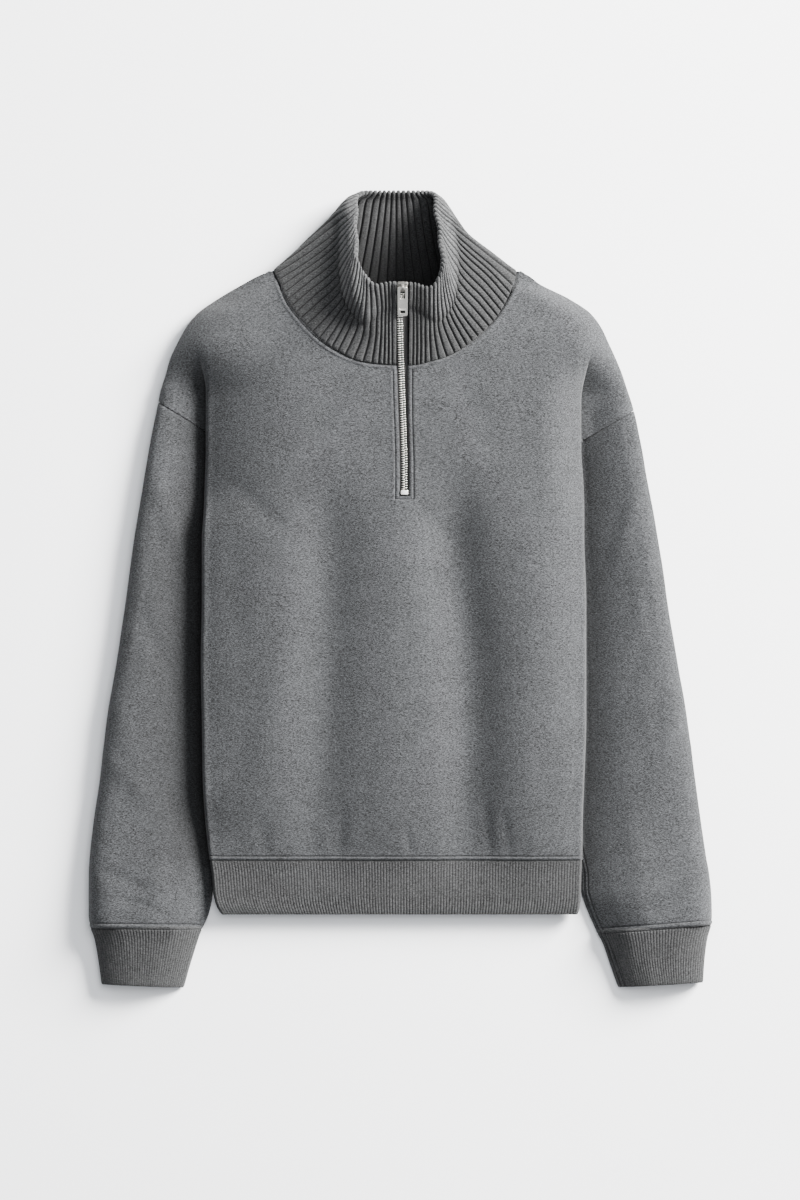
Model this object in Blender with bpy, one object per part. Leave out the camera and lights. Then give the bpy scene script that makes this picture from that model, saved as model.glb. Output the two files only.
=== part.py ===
"""Half-zip fleece sweater lying on its back: collar toward +Y, front up, origin under its middle.

Every table is in millimetres, measured from the middle of the sweater; +X is the right of the
view from above.  The finished meshes are in metres.
"""
import math

import bmesh
import bpy
import numpy as np

for item in list(bpy.data.objects):
    bpy.data.objects.remove(item, do_unlink=True)

# ---------------------------------------------------------------- driving dimensions (mm)
CLOTH = 2.4            # fleece thickness
RIB = 3.0              # hem and cuff rib thickness
COLLAR = 6.0           # doubled collar rib
SEAM = 0.45            # space left between two pieces at a seam
LAYER = 3.2            # step between cloth layers that lie on each other
TUCKED = 6.4           # height of the sleeve's tucked part, with its clearance
FLOOR = CLOTH / 2 + 0.05
SLEEVE_HEIGHT = 35.0   # middle surface of the sleeve at its crest
HEM_Y = -286.8         # seam between body and hem band
HEM_END = -347.0
TAPE = 0.8
CHAIN_WIDTH = 6.0

# y, left outer edge, left body edge, right body edge, right outer edge
OUTLINE = [
    (339.7, -135.7, -134.6, 124.4, 125.4), (332.8, -152.8, -145.3, 132.9, 139.3),
    (325.3, -166.7, -156.0, 139.3, 148.9), (309.2, -194.5, -182.8, 167.1, 181.0),
    (293.2, -217.0, -204.2, 189.6, 204.6), (277.1, -229.8, -213.8, 202.4, 216.4),
    (261.1, -238.4, -215.9, 204.6, 223.8), (245.0, -245.9, -212.7, 201.4, 231.3),
    (229.0, -250.2, -209.5, 198.2, 237.8), (212.9, -255.5, -207.4, 195.0, 243.1),
    (200.1, -258.2, -207.4, 193.9, 247.4), (183.0, -261.7, -207.4, 193.9, 252.2),
    (166.9, -265.1, -207.4, 193.9, 255.5), (148.7, -268.4, -207.4, 193.9, 259.2),
    (116.6, -273.7, -208.4, 196.0, 264.5), (84.5, -279.1, -209.5, 197.1, 270.9),
    (52.4, -284.4, -211.6, 197.1, 276.3), (20.3, -288.7, -211.6, 198.2, 281.6),
    (-11.8, -293.0, -211.6, 199.2, 285.9), (-76.0, -302.6, -212.7, 199.2, 296.6),
    (-140.2, -313.3, -211.6, 199.2, 307.3), (-204.4, -320.8, -210.6, 197.1, 315.9),
    (-247.2, -327.2, -207.9, 195.5, 321.7), (-286.8, -331.5, -203.6, 195.0, 327.6),
    (-303.0, -332.5, -200.5, 194.2, 330.5), (-328.0, -332.6, -197.9, 193.6, 333.0),
    (-340.0, -332.6, -193.0, 191.5, 333.4), (-347.0, -332.6, -188.0, 189.6, 333.5),
    (-361.5, -331.0, -182.0, 185.0, 333.5),
]
# y, inner edge of the left sleeve, inner edge of the right sleeve (tucked under the body)
SLEEVE_INNER = [
    (63.1, -117.5, 102.0), (-11.8, -136.7, 124.3), (-97.4, -158.1, 145.7),
    (-183.0, -177.4, 165.0), (-247.2, -190.2, 180.0), (-286.8, -196.1, 189.6),
    (-307.1, -198.3, 193.5), (-320.0, -199.6, 193.5), (-332.8, -201.0, 196.4),
    (-346.7, -204.0, 201.6), (-359.5, -209.5, 207.3), (-368.1, -214.9, 211.0),
]
# y, left side seam, right side seam (on the strip folded under each side)
SIDE_SEAM = [(63.1, -116.5, 101.0), (-140.0, -140.0, 124.0), (-286.8, -158.0, 150.0),
             (-347.0, -143.0, 145.0)]
# height of the front's middle surface: y, height
FRONT_HEIGHT = [(339.7, 18.0), (325.3, 24.0), (309.2, 29.0), (293.2, 33.5), (277.1, 37.0),
                (261.1, 39.5), (245.0, 41.0), (229.0, 42.0), (200.1, 43.5), (116.6, 44.0),
                (31.0, 43.5), (-76.0, 41.5), (-161.6, 38.0), (-225.8, 32.0), (-263.2, 26.5),
                (-286.8, 22.0), (-303.0, 20.0), (-328.0, 18.5), (-347.0, 17.0)]
# neck seam on the front, from the zip to the shoulder: x, y for the left and the right
NECK_LEFT = [(-3.4, 238.6), (-33.6, 240.8), (-49.4, 244.7), (-65.3, 251.7), (-81.1, 261.5),
             (-95.0, 273.4), (-110.0, 290.0), (-120.7, 305.0), (-127.6, 321.0), (-134.6, 339.7)]
NECK_RIGHT = [(8.8, 238.6), (21.6, 239.7), (37.7, 244.0), (53.4, 248.7), (67.3, 256.6),
              (83.1, 268.6), (96.9, 281.4), (115.8, 309.2), (122.7, 324.9), (124.4, 339.7)]
# neck seam on the back: x, y
NECK_BACK = [(-134.6, 339.7), (-117.5, 333.8), (-96.1, 328.0), (-69.3, 323.1), (-37.2, 319.9),
             (-4.1, 318.9), (29.0, 319.9), (60.0, 323.1), (86.0, 328.0), (107.0, 333.8),
             (124.4, 339.7)]
# y, left edge and right edge of the zip opening
SLIT = [(98.4, -0.6, 10.3), (130.5, -0.4, 10.3), (164.8, -1.1, 9.4), (199.0, -2.4, 8.8),
        (233.3, -3.4, 8.8), (238.6, -3.6, 8.8)]
# armhole: where the seam meets the outer edge, the body edge, and the underarm
ARMHOLE = {-1: ((-258.2, 200.1), (-206.8, 168.5), (-117.5, 63.1)),
           1: ((250.5, 190.5), (194.6, 158.4), (101.0, 60.0))}


# ---------------------------------------------------------------- curves and heights
def column(table, index, y):
    """Value of one table column at y, along a smooth curve without overshoot."""
    rows = sorted(table)
    ys = np.array([row[0] for row in rows])
    vs = np.array([row[index] for row in rows])
    if y <= ys[0]:
        return float(vs[0])
    if y >= ys[-1]:
        return float(vs[-1])
    k = int(np.searchsorted(ys, y) - 1)
    step = np.diff(ys)
    slope = np.diff(vs) / step

    def tangent(i):
        if i == 0:
            return slope[0]
        if i == len(ys) - 1:
            return slope[-1]
        if slope[i - 1] * slope[i] <= 0.0:
            return 0.0
        return 2.0 * slope[i - 1] * slope[i] / (slope[i - 1] + slope[i])

    t = (y - ys[k]) / step[k]
    a, b = tangent(k) * step[k], tangent(k + 1) * step[k]
    return float((2 * t**3 - 3 * t**2 + 1) * vs[k] + (t**3 - 2 * t**2 + t) * a
                 + (3 * t**2 - 2 * t**3) * vs[k + 1] + (t**3 - t**2) * b)


def ease(low, high, value):
    t = min(1.0, max(0.0, (value - low) / (high - low)))
    return t * t * (3.0 - 2.0 * t)


def bell(value, centre, width):
    return math.exp(-((value - centre) / width) ** 2)


def outer(side, y):
    return column(OUTLINE, 1 if side < 0 else 4, y)


def edge(side, y):
    return column(OUTLINE, 2 if side < 0 else 3, y)


def tuck(side, y):
    return column(SLEEVE_INNER, 1 if side < 0 else 2, y)


def seam_line(side, x):
    """Height in Y of the armhole seam above a point x of it."""
    top, cross, under = ARMHOLE[side]
    if side * x > side * cross[0]:
        t = (x - top[0]) / (cross[0] - top[0])
        return top[1] + t * (cross[1] - top[1])
    t = (x - cross[0]) / (under[0] - cross[0])
    return cross[1] + t * (under[1] - cross[1])


def seam_x(side, y):
    """Where the armhole seam is at height y."""
    top, cross, under = ARMHOLE[side]
    if y >= cross[1]:
        return top[0] + (y - top[1]) / (cross[1] - top[1]) * (cross[0] - top[0])
    return cross[0] + (y - cross[1]) / (under[1] - cross[1]) * (under[0] - cross[0])


def lift(side, x, y):
    """Height that the tucked sleeve gives to the layers above it."""
    beyond = -side * (x - tuck(side, y))
    above = (y - seam_line(side, x)) * 0.78
    return TUCKED * (1.0 - ease(0.0, 30.0, max(beyond - 4.0, above - 14.0)))


def troughs(x, y):
    """Soft vertical folds of the front."""
    reach = ease(150.0, 40.0, y) * ease(-345.0, -250.0, y)
    left = 8.0 * bell(x, -79.0 - 6.0 * ease(20.0, -280.0, y), 31.0)
    right = 12.0 * bell(x, 58.0 + 15.0 * ease(60.0, -100.0, y), 31.0)
    ridge = 3.0 * bell(x, -6.0, 28.0) + 3.0 * bell(x, 138.0, 26.0)
    return reach * (ridge - left - right)


def fold_foot(side, y):
    """Height of the folded-under strip at the body edge."""
    return FLOOR + (lift(side, edge(side, y), y) if y < ARMHOLE[side][1][1] else TUCKED)


def wall_rise(y):
    """1 where the folded body edge stands high, between the chest and the hem, else 0."""
    return ease(-270.0, -200.0, y) * ease(110.0, 60.0, y)


def front_height(side, x, y):
    """Middle surface of the front, inside the body edge."""
    inside = -side * (x - edge(side, y))
    full = column(FRONT_HEIGHT, 1, y)
    foot = fold_foot(side, y) + 10.5 + 4.7 * wall_rise(y)
    reach = 85.0 if side < 0 else 52.0
    rise = 1.0 - (1.0 - min(1.0, max(0.0, (inside - 3.0) / reach))) ** 2.4
    scale = full / 44.0
    return foot + (full - foot) * rise + troughs(x, y) * scale * min(1.0, inside / 60.0)


def shoulder_height(side, x, y):
    """Middle surface of the shoulder, as a round from the outer edge to the full height."""
    full = column(FRONT_HEIGHT, 1, y)
    start = 12.0 + 6.0 * ease(300.0, 339.7, y)
    inside = max(0.0, -side * (x - outer(side, y)) - 1.2)
    rise = 1.0 - (1.0 - min(1.0, inside / 62.0)) ** 2.6
    return start + (full - start) * rise


def sleeve_height(side, x, y):
    """Middle surface of the sleeve's upper layer, outside the body edge."""
    low = FLOOR + 3.4
    crest = SLEEVE_HEIGHT - 4.0 * ease(-240.0, -345.0, y)
    start = 8.0 + 4.0 * ease(150.0, 200.0, y)
    inside = max(0.0, -side * (x - outer(side, y)) - 1.2)
    rise = math.sqrt(1.0 - (1.0 - min(1.0, inside / 38.0)) ** 2)
    mix = ease(-310.0, -345.0, y)
    limit = (1.0 - mix) * edge(side, y) + mix * tuck(side, y)
    open_width = max(0.0, side * (x - limit) - 2.0 * (1.0 - mix))
    fall = 1.0 - (1.0 - min(1.0, open_width / 46.0)) ** 2.3
    return low + ((start - low) + (crest - start) * rise) * fall


def fold_weight(y):
    """How far the body edge is a fold, from the free shoulder (0) to the overlap (1)."""
    return ease(268.0, 205.0, y)


# ---------------------------------------------------------------- mesh building
def material(name, colour, roughness, metallic=0.0):
    made = bpy.data.materials.new(name)
    made.use_nodes = True
    shader = made.node_tree.nodes["Principled BSDF"]
    shader.inputs["Base Color"].default_value = (*colour, 1.0)
    shader.inputs["Roughness"].default_value = roughness
    shader.inputs["Metallic"].default_value = metallic
    return made


def solid(name, points, faces, finish):
    mesh = bpy.data.meshes.new(name)
    mesh.from_pydata([(p[0] * 0.001, p[1] * 0.001, max(0.0, p[2]) * 0.001) for p in points],
                     [], faces)
    mesh.validate()
    mesh.update()
    mesh.materials.append(finish)
    made = bpy.data.objects.new(name, mesh)
    bpy.context.scene.collection.objects.link(made)
    return made


def sheet_solid(name, grid, thickness, finish, wrap=False, missing=(), round_end=False):
    """Closed solid around a grid of middle points; cells listed as missing stay open.

    round_end gives the last column a round rim, as on a folded edge.
    """
    keys, points, index = {}, [], []
    for row in grid:
        line = []
        for point in row:
            key = tuple(round(float(c), 3) for c in point)
            if key not in keys:
                keys[key] = len(points)
                points.append(np.array(point, dtype=float))
            line.append(keys[key])
        index.append(line)
    tris = []
    columns = len(index[0])
    for r in range(len(index) - 1):
        for c in range(columns if wrap else columns - 1):
            if (r, c) in missing:
                continue
            a, b = index[r][c], index[r][(c + 1) % columns]
            d, e = index[r + 1][c], index[r + 1][(c + 1) % columns]
            for tri in ((a, b, e), (a, e, d)):
                if len(set(tri)) == 3:
                    tris.append(tri)
    points = np.array(points)
    normal = np.zeros_like(points)
    face_normals = []
    for tri in tris:
        p = points[list(tri)]
        n = np.cross(p[1] - p[0], p[2] - p[0])
        n /= max(1e-9, np.linalg.norm(n))
        face_normals.append(n)
        for k in range(3):
            u, v = p[(k + 1) % 3] - p[k], p[(k + 2) % 3] - p[k]
            cosine = np.dot(u, v) / (np.linalg.norm(u) * np.linalg.norm(v))
            normal[tri[k]] += n * math.acos(max(-1.0, min(1.0, cosine)))
    normal /= np.maximum(1e-9, np.linalg.norm(normal, axis=1))[:, None]
    share, weight = np.zeros(len(points)), np.zeros(len(points))
    for tri, n in zip(tris, face_normals):
        for k in tri:
            share[k] += max(0.3, float(np.dot(n, normal[k])))
            weight[k] += 1.0
    stretch = np.minimum(1.35, weight / np.maximum(0.3, share))
    offset = normal * (stretch * thickness / 2.0)[:, None]
    count = len(points)
    verts = np.vstack([points + offset, points - offset])
    faces = [tuple(t) for t in tris] + [tuple(v + count for v in reversed(t)) for t in tris]
    edges = {}
    for tri in tris:
        for k in range(3):
            edges[(tri[k], tri[(k + 1) % 3])] = True
    crest = {}
    if round_end:
        extra = []
        for r, line in enumerate(index):
            tip, before = points[line[-1]], points[line[-2]]
            way = tip - before
            way -= normal[line[-1]] * np.dot(way, normal[line[-1]])
            way /= np.linalg.norm(way)
            crest[line[-1]] = 2 * count + r
            extra.append(tip + way * thickness * 0.48)
        verts = np.vstack([verts, extra])
    for (a, b) in list(edges):
        if (b, a) in edges:
            continue
        if a in crest and b in crest:
            faces += [(b, a, crest[a]), (b, crest[a], crest[b]),
                      (crest[b], crest[a], a + count), (crest[b], a + count, b + count)]
            continue
        faces.append((b, a, a + count))
        faces.append((b, a + count, b + count))
        if b in crest:
            faces.append((b, b + count, crest[b]))
        if a in crest:
            faces.append((a, crest[a], a + count))
    return solid(name, verts, faces, finish)


def box_solid(name, centre, axes, half, finish, taper=1.0):
    """Box with its own axes; taper narrows its upper face."""
    points = []
    for w in (-1, 1):
        for u, v in ((-1, -1), (1, -1), (1, 1), (-1, 1)):
            k = taper if w > 0 else 1.0
            points.append(np.array(centre) + axes[0] * half[0] * u * k
                          + axes[1] * half[1] * v * k + axes[2] * half[2] * w)
    faces = [(3, 2, 1, 0), (4, 5, 6, 7), (0, 1, 5, 4), (1, 2, 6, 5), (2, 3, 7, 6), (3, 0, 4, 7)]
    return solid(name, points, faces, finish)


fleece = material("fleece", (0.19, 0.195, 0.205), 0.95)
rib = material("rib", (0.16, 0.163, 0.17), 0.95)
tape_cloth = material("zip_tape", (0.02, 0.02, 0.021), 0.9)
metal = material("zip_metal", (0.62, 0.63, 0.64), 0.32, 1.0)

# ---------------------------------------------------------------- body
# offset from the body edge, height over the foot of the fold and what a high edge adds,
# outside to inside
WALL = [(2.4, 1.0, 0.0), (1.2, 3.9, 0.0), (1.6, 7.9, 3.4), (3.4, 11.0, 4.9),
        (8.0, None, 0.0), (16.0, None, 0.0)]
FREE = [-2.0, 1.0, 4.0, 7.5, 12.0, 18.0]
SPREAD = [0.11, 0.25, 0.41, 0.58, 0.78, 1.0]
BODY_ROWS = [HEM_Y + SEAM, -250.0, -205.0, -140.0, -76.0, -12.0, 63.1, 98.4, 132.0]


def strip_places(side, y):
    """X of the folded-under strip's columns, from its side seam to the fold."""
    end = column(SIDE_SEAM, 1 if side < 0 else 2, y) if y < ARMHOLE[side][2][1] \
        else seam_x(side, y) - side * 1.0
    start = edge(side, y) - side * 7.4
    if side * (start - end) < 2.4:
        start = end + side * 2.4
    width = side * (start - end)
    past = side * (start - tuck(side, y)) + 4.0
    past = min(past, width - 1.6)
    marks = [width, past + min(15.0, (width - past) * 0.6), past, 0.0]
    return [start - side * mark for mark in marks]


def front_row(side, y, last):
    """One row of the front from its hidden end (or the outer edge) to the zip or neck."""
    cross = ARMHOLE[side][1]
    e, w = edge(side, y), fold_weight(y)
    foot = fold_foot(side, y)
    row = []
    if y < cross[1] - 0.01:
        for x in strip_places(side, y):
            row.append((x, y, FLOOR + lift(side, x, y)))
    elif y > cross[1] + 0.01:
        start = e + side * 3.0
        at_seam = y < ARMHOLE[side][0][1]
        first = seam_x(side, y) if at_seam else outer(side, y) - side * 1.2
        if at_seam:
            places = [first + (start - first) * t for t in (0.0, 0.3, 0.65, 1.0)]
        else:
            span = -side * (start - first)
            places = [first, first - side * min(2.2, span * 0.2),
                      first - side * min(9.0, span * 0.5), start]
        for k, x in enumerate(places):
            smooth = shoulder_height(side, x, y)
            valley = max(sleeve_height(side, x, y), FLOOR + TUCKED + 1.0)
            z = (1.0 - w) * smooth + w * valley
            if k == 0 and not at_seam:
                z = 12.0 + 6.0 * ease(300.0, 339.7, y)
            row.append((x, y, z))
    for k, (inset, up, more) in enumerate(WALL):
        span = abs(last - outer(side, y))
        place = (1.0 - w) * min(FREE[k], span * (0.30 + 0.08 * k)) + w * inset
        x = e - side * place
        fold = front_height(side, x, y) if up is None else foot + up + more * wall_rise(y)
        if y > cross[1]:
            fold = min(fold, front_height(side, x, y)) if up is None else fold
        z = (1.0 - w) * shoulder_height(side, x, y) + w * fold
        row.append((x, y, z))
    if abs(y - cross[1]) < 0.01:
        row = [row[0]] * 4 + row
    start = row[-1][0]
    for t in SPREAD:
        x = start + (last - start) * t
        z = (1.0 - w) * shoulder_height(side, x, y) + w * front_height(side, x, y)
        row.append((x, y, z))
    return row


def front_rows(side):
    neck = NECK_LEFT if side < 0 else NECK_RIGHT
    cross_y = ARMHOLE[side][1][1]
    top_y = ARMHOLE[side][0][1]
    ys = BODY_ROWS + [cross_y, cross_y + 3.0, cross_y + 16.0, top_y, 220.0]
    rows = []
    for y in ys:
        last = column(SLIT, 1 if side < 0 else 2, y)
        rows.append(front_row(side, y, last))
    for x, y in neck[:-1]:
        rows.append(front_row(side, y, x))
    tip = (neck[-1][0], neck[-1][1], 18.0)
    rows.append([tip] * len(rows[0]))
    return rows


left, right = front_rows(-1), front_rows(1)
# both halves need the same number of rows, joined below the zip opening
pairs = min(len(left), len(right))
front = [l + r[::-1] for l, r in zip(left[:pairs], right[:pairs])]
slit_row = next(k for k, row in enumerate(left) if abs(row[-1][1] - 98.4) < 0.01)
joint = len(left[0]) - 1
open_cells = {(r, joint) for r in range(slit_row, pairs - 1)}
front = [[tuple(p) for p in row] for row in front]
sheet_solid("front_panel", front, CLOTH, fleece, missing=open_cells)


def flap(side, x, y):
    """1 over the folded-under strip, falling to 0 past the side seam and the armhole."""
    beyond = -side * (x - column(SIDE_SEAM, 1 if side < 0 else 2, y)) - 2.0
    above = (y - seam_line(side, x)) * 0.78 - 14.0
    return 1.0 - ease(0.0, 28.0, max(beyond, above))


def back_height(side, x, y):
    outside = side * (x - edge(side, y))
    near = ease(-7.0, -18.0, outside) if y >= ARMHOLE[side][1][1] else 1.0
    return FLOOR + (lift(side, x, y) + 2.0 * LAYER * flap(side, x, y)) * near


def back_row(side, y, y_mid, last):
    """One row of the back from its hidden end (or the outer edge) to the middle."""
    cross = ARMHOLE[side][1]
    e = edge(side, y)
    row, main = [], []
    if y < cross[1] - 0.01:
        strip = strip_places(side, y)
        row = [(x, y, FLOOR + lift(side, x, y) + LAYER) for x in strip]
        foot = row[-1][2]
        turn = min(3.2, side * (e - strip[-1]) - 4.2)
        row += [(strip[-1] + side * turn * s, y, foot + up)
                for s, up in ((0.7, 0.45), (1.0, LAYER / 2.0), (0.7, LAYER - 0.45))]
        main = [side * (strip[-1] - x) for x in strip[::-1]]
        begin = strip[-1]
        main += [main[-1] + step for step in (9.0, 18.0, 30.0)]
    elif y < cross[1] + 0.01:
        foot = FLOOR + lift(side, e, y) + LAYER + 0.3
        row = [(e - side * 14.0, y, foot)] * 7
        begin = e - side * 14.0
        main = [3.0, 6.0, 9.0, 13.0, 20.0, 28.0, 38.0]
    else:
        at_seam = y < ARMHOLE[side][0][1]
        first = seam_x(side, y) if at_seam else outer(side, y) - side * 1.2
        stop = min(first * side - 8.0, e * side - 14.0)
        span = side * first - stop
        top = 10.2 + 3.6 * ease(300.0, 339.7, y)
        low = [(0.0, top), (min(1.6, span * 0.1), 5.4), (min(7.0, span * 0.3), 1.9)]
        share = (0.0, 0.25, 0.5, 0.7, 0.82, 0.92, 1.0)
        for k in range(7):
            if at_seam or k > 2:
                x = first - side * span * share[k]
                row.append((x, y, back_height(side, x, y)))
            else:
                row.append((first - side * low[k][0], y, max(FLOOR, low[k][1])))
        begin = side * stop
        main = [3.0, 6.0, 9.0, 13.0, 20.0, 28.0, 38.0]
    room = side * (begin - last)
    main = [m * min(1.0, room * 0.8 / main[-1]) for m in main] + [room]
    for place in main:
        x = begin - side * place
        yy = y + (y_mid - y) * place / max(1.0, room)
        row.append((x, yy, back_height(side, x, yy)))
    return row


def back_ys(side):
    cross_y, top_y = ARMHOLE[side][1][1], ARMHOLE[side][0][1]
    return BODY_ROWS + [cross_y, cross_y + 3.0, cross_y + 16.0, top_y, 238.0, 275.0, 303.0, 318.9]


pairs_y = list(zip(back_ys(-1), back_ys(1)))
rows_back = []
for a, b in pairs_y:
    mid = (a + b) / 2.0
    rows_back.append(back_row(-1, a, mid, -4.1) + back_row(1, b, mid, -4.1)[::-1])
width = len(rows_back[0]) // 2
arc_left = NECK_BACK[:6][::-1]
arc_right = NECK_BACK[5:]
for (lx, ly), (rx, ry) in zip(arc_left[1:-1], arc_right[1:-1]):
    rows_back.append(back_row(-1, ly, ly, lx) + back_row(1, ry, ry, rx)[::-1])
rows_back.append([(arc_left[-1][0], arc_left[-1][1] - 1.0, 13.4)] * width
                 + [(arc_right[-1][0], arc_right[-1][1] - 1.0, 13.4)] * width)
neck_from = len(pairs_y) - 1
sheet_solid("back_panel", rows_back, CLOTH, fleece,
            missing={(r, width - 1) for r in range(neck_from, len(rows_back) - 1)})

# ---------------------------------------------------------------- sleeves and cuffs
# share of the way down the outer edge, share down the inner edge, bend of the armhole left
RINGS = [(0.0, 0.0, 1.0), (0.038, 0.062, 0.75), (0.09, 0.144, 0.4), (0.16, 0.24, 0.1),
         (0.26, 0.35, 0.0), (0.377, 0.476, 0.0), (0.50, 0.58, 0.0), (0.62, 0.68, 0.0),
         (0.74, 0.777, 0.0), (0.845, 0.863, 0.0), (0.93, 0.931, 0.0), (1.0, 1.0, 0.0)]
SLEEVE_END = {-1: (-361.2, -362.6), 1: (-357.8, -367.2)}
# cuff: outer edge x, y, inner edge x, y, height of the middle surface at the crest
CUFF_LEFT = [(-331.2, -361.9, -211.2, -363.3, 29.0), (-327.0, -372.9, -215.0, -374.0, 26.5),
             (-322.5, -397.0, -222.8, -398.0, 23.5),
             (-319.2, -422.1, -230.7, -425.9, 21.0)]
CUFF_RIGHT = [(333.5, -358.5, 210.6, -367.9, 29.0), (329.0, -374.1, 217.0, -379.9, 26.5),
              (325.8, -399.0, 223.8, -399.0, 23.5),
              (324.5, -420.1, 233.0, -425.5, 21.0)]


def ring(side, a, b, bend, crest_at, crest=None):
    """Closed loop of middle points between the outer end a and the inner end b."""
    length = abs(b[0] - a[0])
    peak = 0.365

    def at(distance):
        t = distance / length
        arch = t / peak if t < peak else (1.0 - t) / (1.0 - peak)
        return a[0] - side * distance, a[1] + (b[1] - a[1]) * t + bend * arch

    crossing = length * 0.93
    if crest is None:
        for step in range(10, int(length)):
            x, y = at(step)
            if y > -306.0 and side * (x - edge(side, y)) <= 0.0:
                crossing = min(crossing, float(step))
                break
    top_at = min(crest_at, crossing * 0.6)
    spots = [1.3, 3.0, 0.21 * top_at, 0.40 * top_at, 0.68 * top_at, top_at]
    spots += [top_at + (crossing - top_at) * t for t in (0.35, 0.65, 0.87, 0.985)]
    spots += [crossing + (length - 3.6 - crossing) * t for t in (0.4, 1.0)]
    loop = []
    for k, spot in enumerate(spots):
        x, y = at(spot)
        if crest is None:
            z = sleeve_height(side, x, y)
        else:
            rise = math.sqrt(1.0 - (1.0 - min(1.0, max(0.0, spot - 1.2) / 38.0)) ** 2)
            fall = 1.0 - (1.0 - min(1.0, max(0.0, length - spot) / 46.0)) ** 2.3
            z = FLOOR + 3.4 + (3.4 + (crest - 8.0) * rise) * fall
        loop.append((x, y, z))
    x, y = at(length - 1.25)
    loop.append((x, y, FLOOR + 1.7))
    for spot, z in ((length - 3.6, 0.0), (length * 0.6, 0.0), (10.0, 0.15), (4.0, 1.3),
                    (1.7, 3.6)):
        x, y = at(spot)
        loop.append((x, y, FLOOR + z))
    return loop


for side, word, cuff in ((-1, "left", CUFF_LEFT), (1, "right", CUFF_RIGHT)):
    top, cross, under = ARMHOLE[side]
    t = (top[0] - cross[0]) / (top[0] - under[0])
    bend = cross[1] - (top[1] + (under[1] - top[1]) * t)
    ends = SLEEVE_END[side]
    rings = []
    for down_outer, down_inner, share in RINGS:
        gap = 1.5 if side < 0 else 2.0
        ya = top[1] - gap + (ends[0] - top[1] + gap) * down_outer
        yb = under[1] - gap + (ends[1] - under[1] + gap) * down_inner
        rings.append(ring(side, (outer(side, ya), ya), (tuck(side, yb), yb), bend * share, 36.0))
    sheet_solid("sleeve_" + word, rings, CLOTH, fleece, wrap=True)
    rings = [ring(side, (xa, ya), (xb, yb), 0.0, 36.0, crest) for xa, ya, xb, yb, crest in cuff]
    sheet_solid("cuff_" + word, rings, RIB - 0.6, rib, wrap=True)

# ---------------------------------------------------------------- hem band
loops = []
for y in (HEM_Y - SEAM, -306.0, -328.0, HEM_END + 0.8):
    fl, fr = front_row(-1, y, -0.6), front_row(1, y, 10.3)
    bl, br = back_row(-1, y, y, -4.1), back_row(1, y, y, -4.1)
    turn_r = (fr[0][0] - 1.6, y, fr[0][2] + LAYER / 2.0)
    turn_l = (fl[0][0] + 1.6, y, fl[0][2] + LAYER / 2.0)
    loops.append(fl + fr[::-1] + [turn_r] + br + bl[:-1][::-1] + [turn_l])
sheet_solid("hem_rib", loops, CLOTH, rib, wrap=True)

# ---------------------------------------------------------------- collar
# neck seam, two points of the cone, crease and crest of one station; heights left out follow
COLLAR_LEFT = [
    ((-3.9, 239.5, None), (-4.1, 261.1, None), (-4.3, 282.5, None), (-4.1, 303.9, 57),
     (-4.1, 323.1, 67)),
    ((-14.8, 240.5, None), (-14.2, 261.1, None), (-14.2, 281.4, None), (-13.7, 301.7, 56.5),
     (-14.8, 322.6, 67)),
    ((-29.7, 241.8, None), (-26.5, 261.1, None), (-24.9, 276.1, None), (-24.9, 296.4, 54.5),
     (-26.5, 322.1, 67)),
    ((-49.0, 245.8, None), (-41.5, 263.2, None), (-37.8, 276.1, None), (-37.5, 287.8, 50.5),
     (-34.6, 329.0, 66.5)),
    ((-61.8, 252.5, None), (-52.8, 270.7, None), (-46.9, 283.6, None), (-44.2, 293.7, 49),
     (-39.4, 334.4, 66)),
    ((-78.4, 262.6, None), (-66.1, 280.9, None), (-57.6, 294.2, None), (-52.2, 305.5, 47),
     (-44.2, 346.7, 64.5)),
    ((-92.3, 274.5, None), (-76.8, 290.5, None), (-64.5, 303.9, None), (-57.0, 317.8, 44.5),
     (-45.8, 356.3, 61)),
    ((-105.2, 288.4, None), (-85.4, 306.0, None), (-70.4, 318.9, None), (-59.2, 333.8, 42),
     (-46.3, 366.5, 57.5)),
    ((-115.3, 301.2, None), (-92.9, 319.9, None), (-74.7, 333.8, None), (-59.7, 351.0, 39),
     (-46.9, 376.6, 52.5)),
    ((-122.8, 315.7, None), (-99.3, 333.3, None), (-77.9, 348.8, None), (-59.7, 366.5, 35.5),
     (-46.9, 386.3, 47.5)),
    ((-128.7, 329.6, None), (-103.6, 345.1, None), (-80.0, 361.7, None), (-59.7, 380.4, 32),
     (-46.9, 395.4, 42)),
    ((-132.7, 338.7, None), (-104.6, 356.8, None), (-81.6, 373.4, None), (-60.2, 390.0, 29),
     (-46.9, 402.9, 38)),
    ((-128.2, 340.0, 12), (-107.0, 362.2, 13.5), (-85.9, 380.9, 18), (-64.0, 399.1, 24),
     (-47.4, 409.3, 32.5)),
    ((-116.4, 335.5, 6.5), (-100.4, 361.7, 7), (-82.2, 384.1, 10.5), (-63.5, 405.0, 17.5),
     (-47.4, 414.6, 27)),
    ((-100.4, 330.5, 3.6), (-86.5, 357.4, 4), (-74.7, 385.7, 5.5), (-59.7, 410.9, 11.5),
     (-45.3, 419.4, 21)),
    ((-76.8, 325.5, 3.1), (-66.1, 356.3, 3.1), (-58.6, 388.4, 3.8), (-51.1, 414.1, 7.5),
     (-38.8, 422.7, 14.5)),
    ((-40.4, 321.6, 3.1), (-34.0, 356.3, 3.1), (-28.7, 388.4, 3.3), (-24.9, 414.1, 5.5),
     (-21.7, 423.2, 11)),
]
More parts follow.
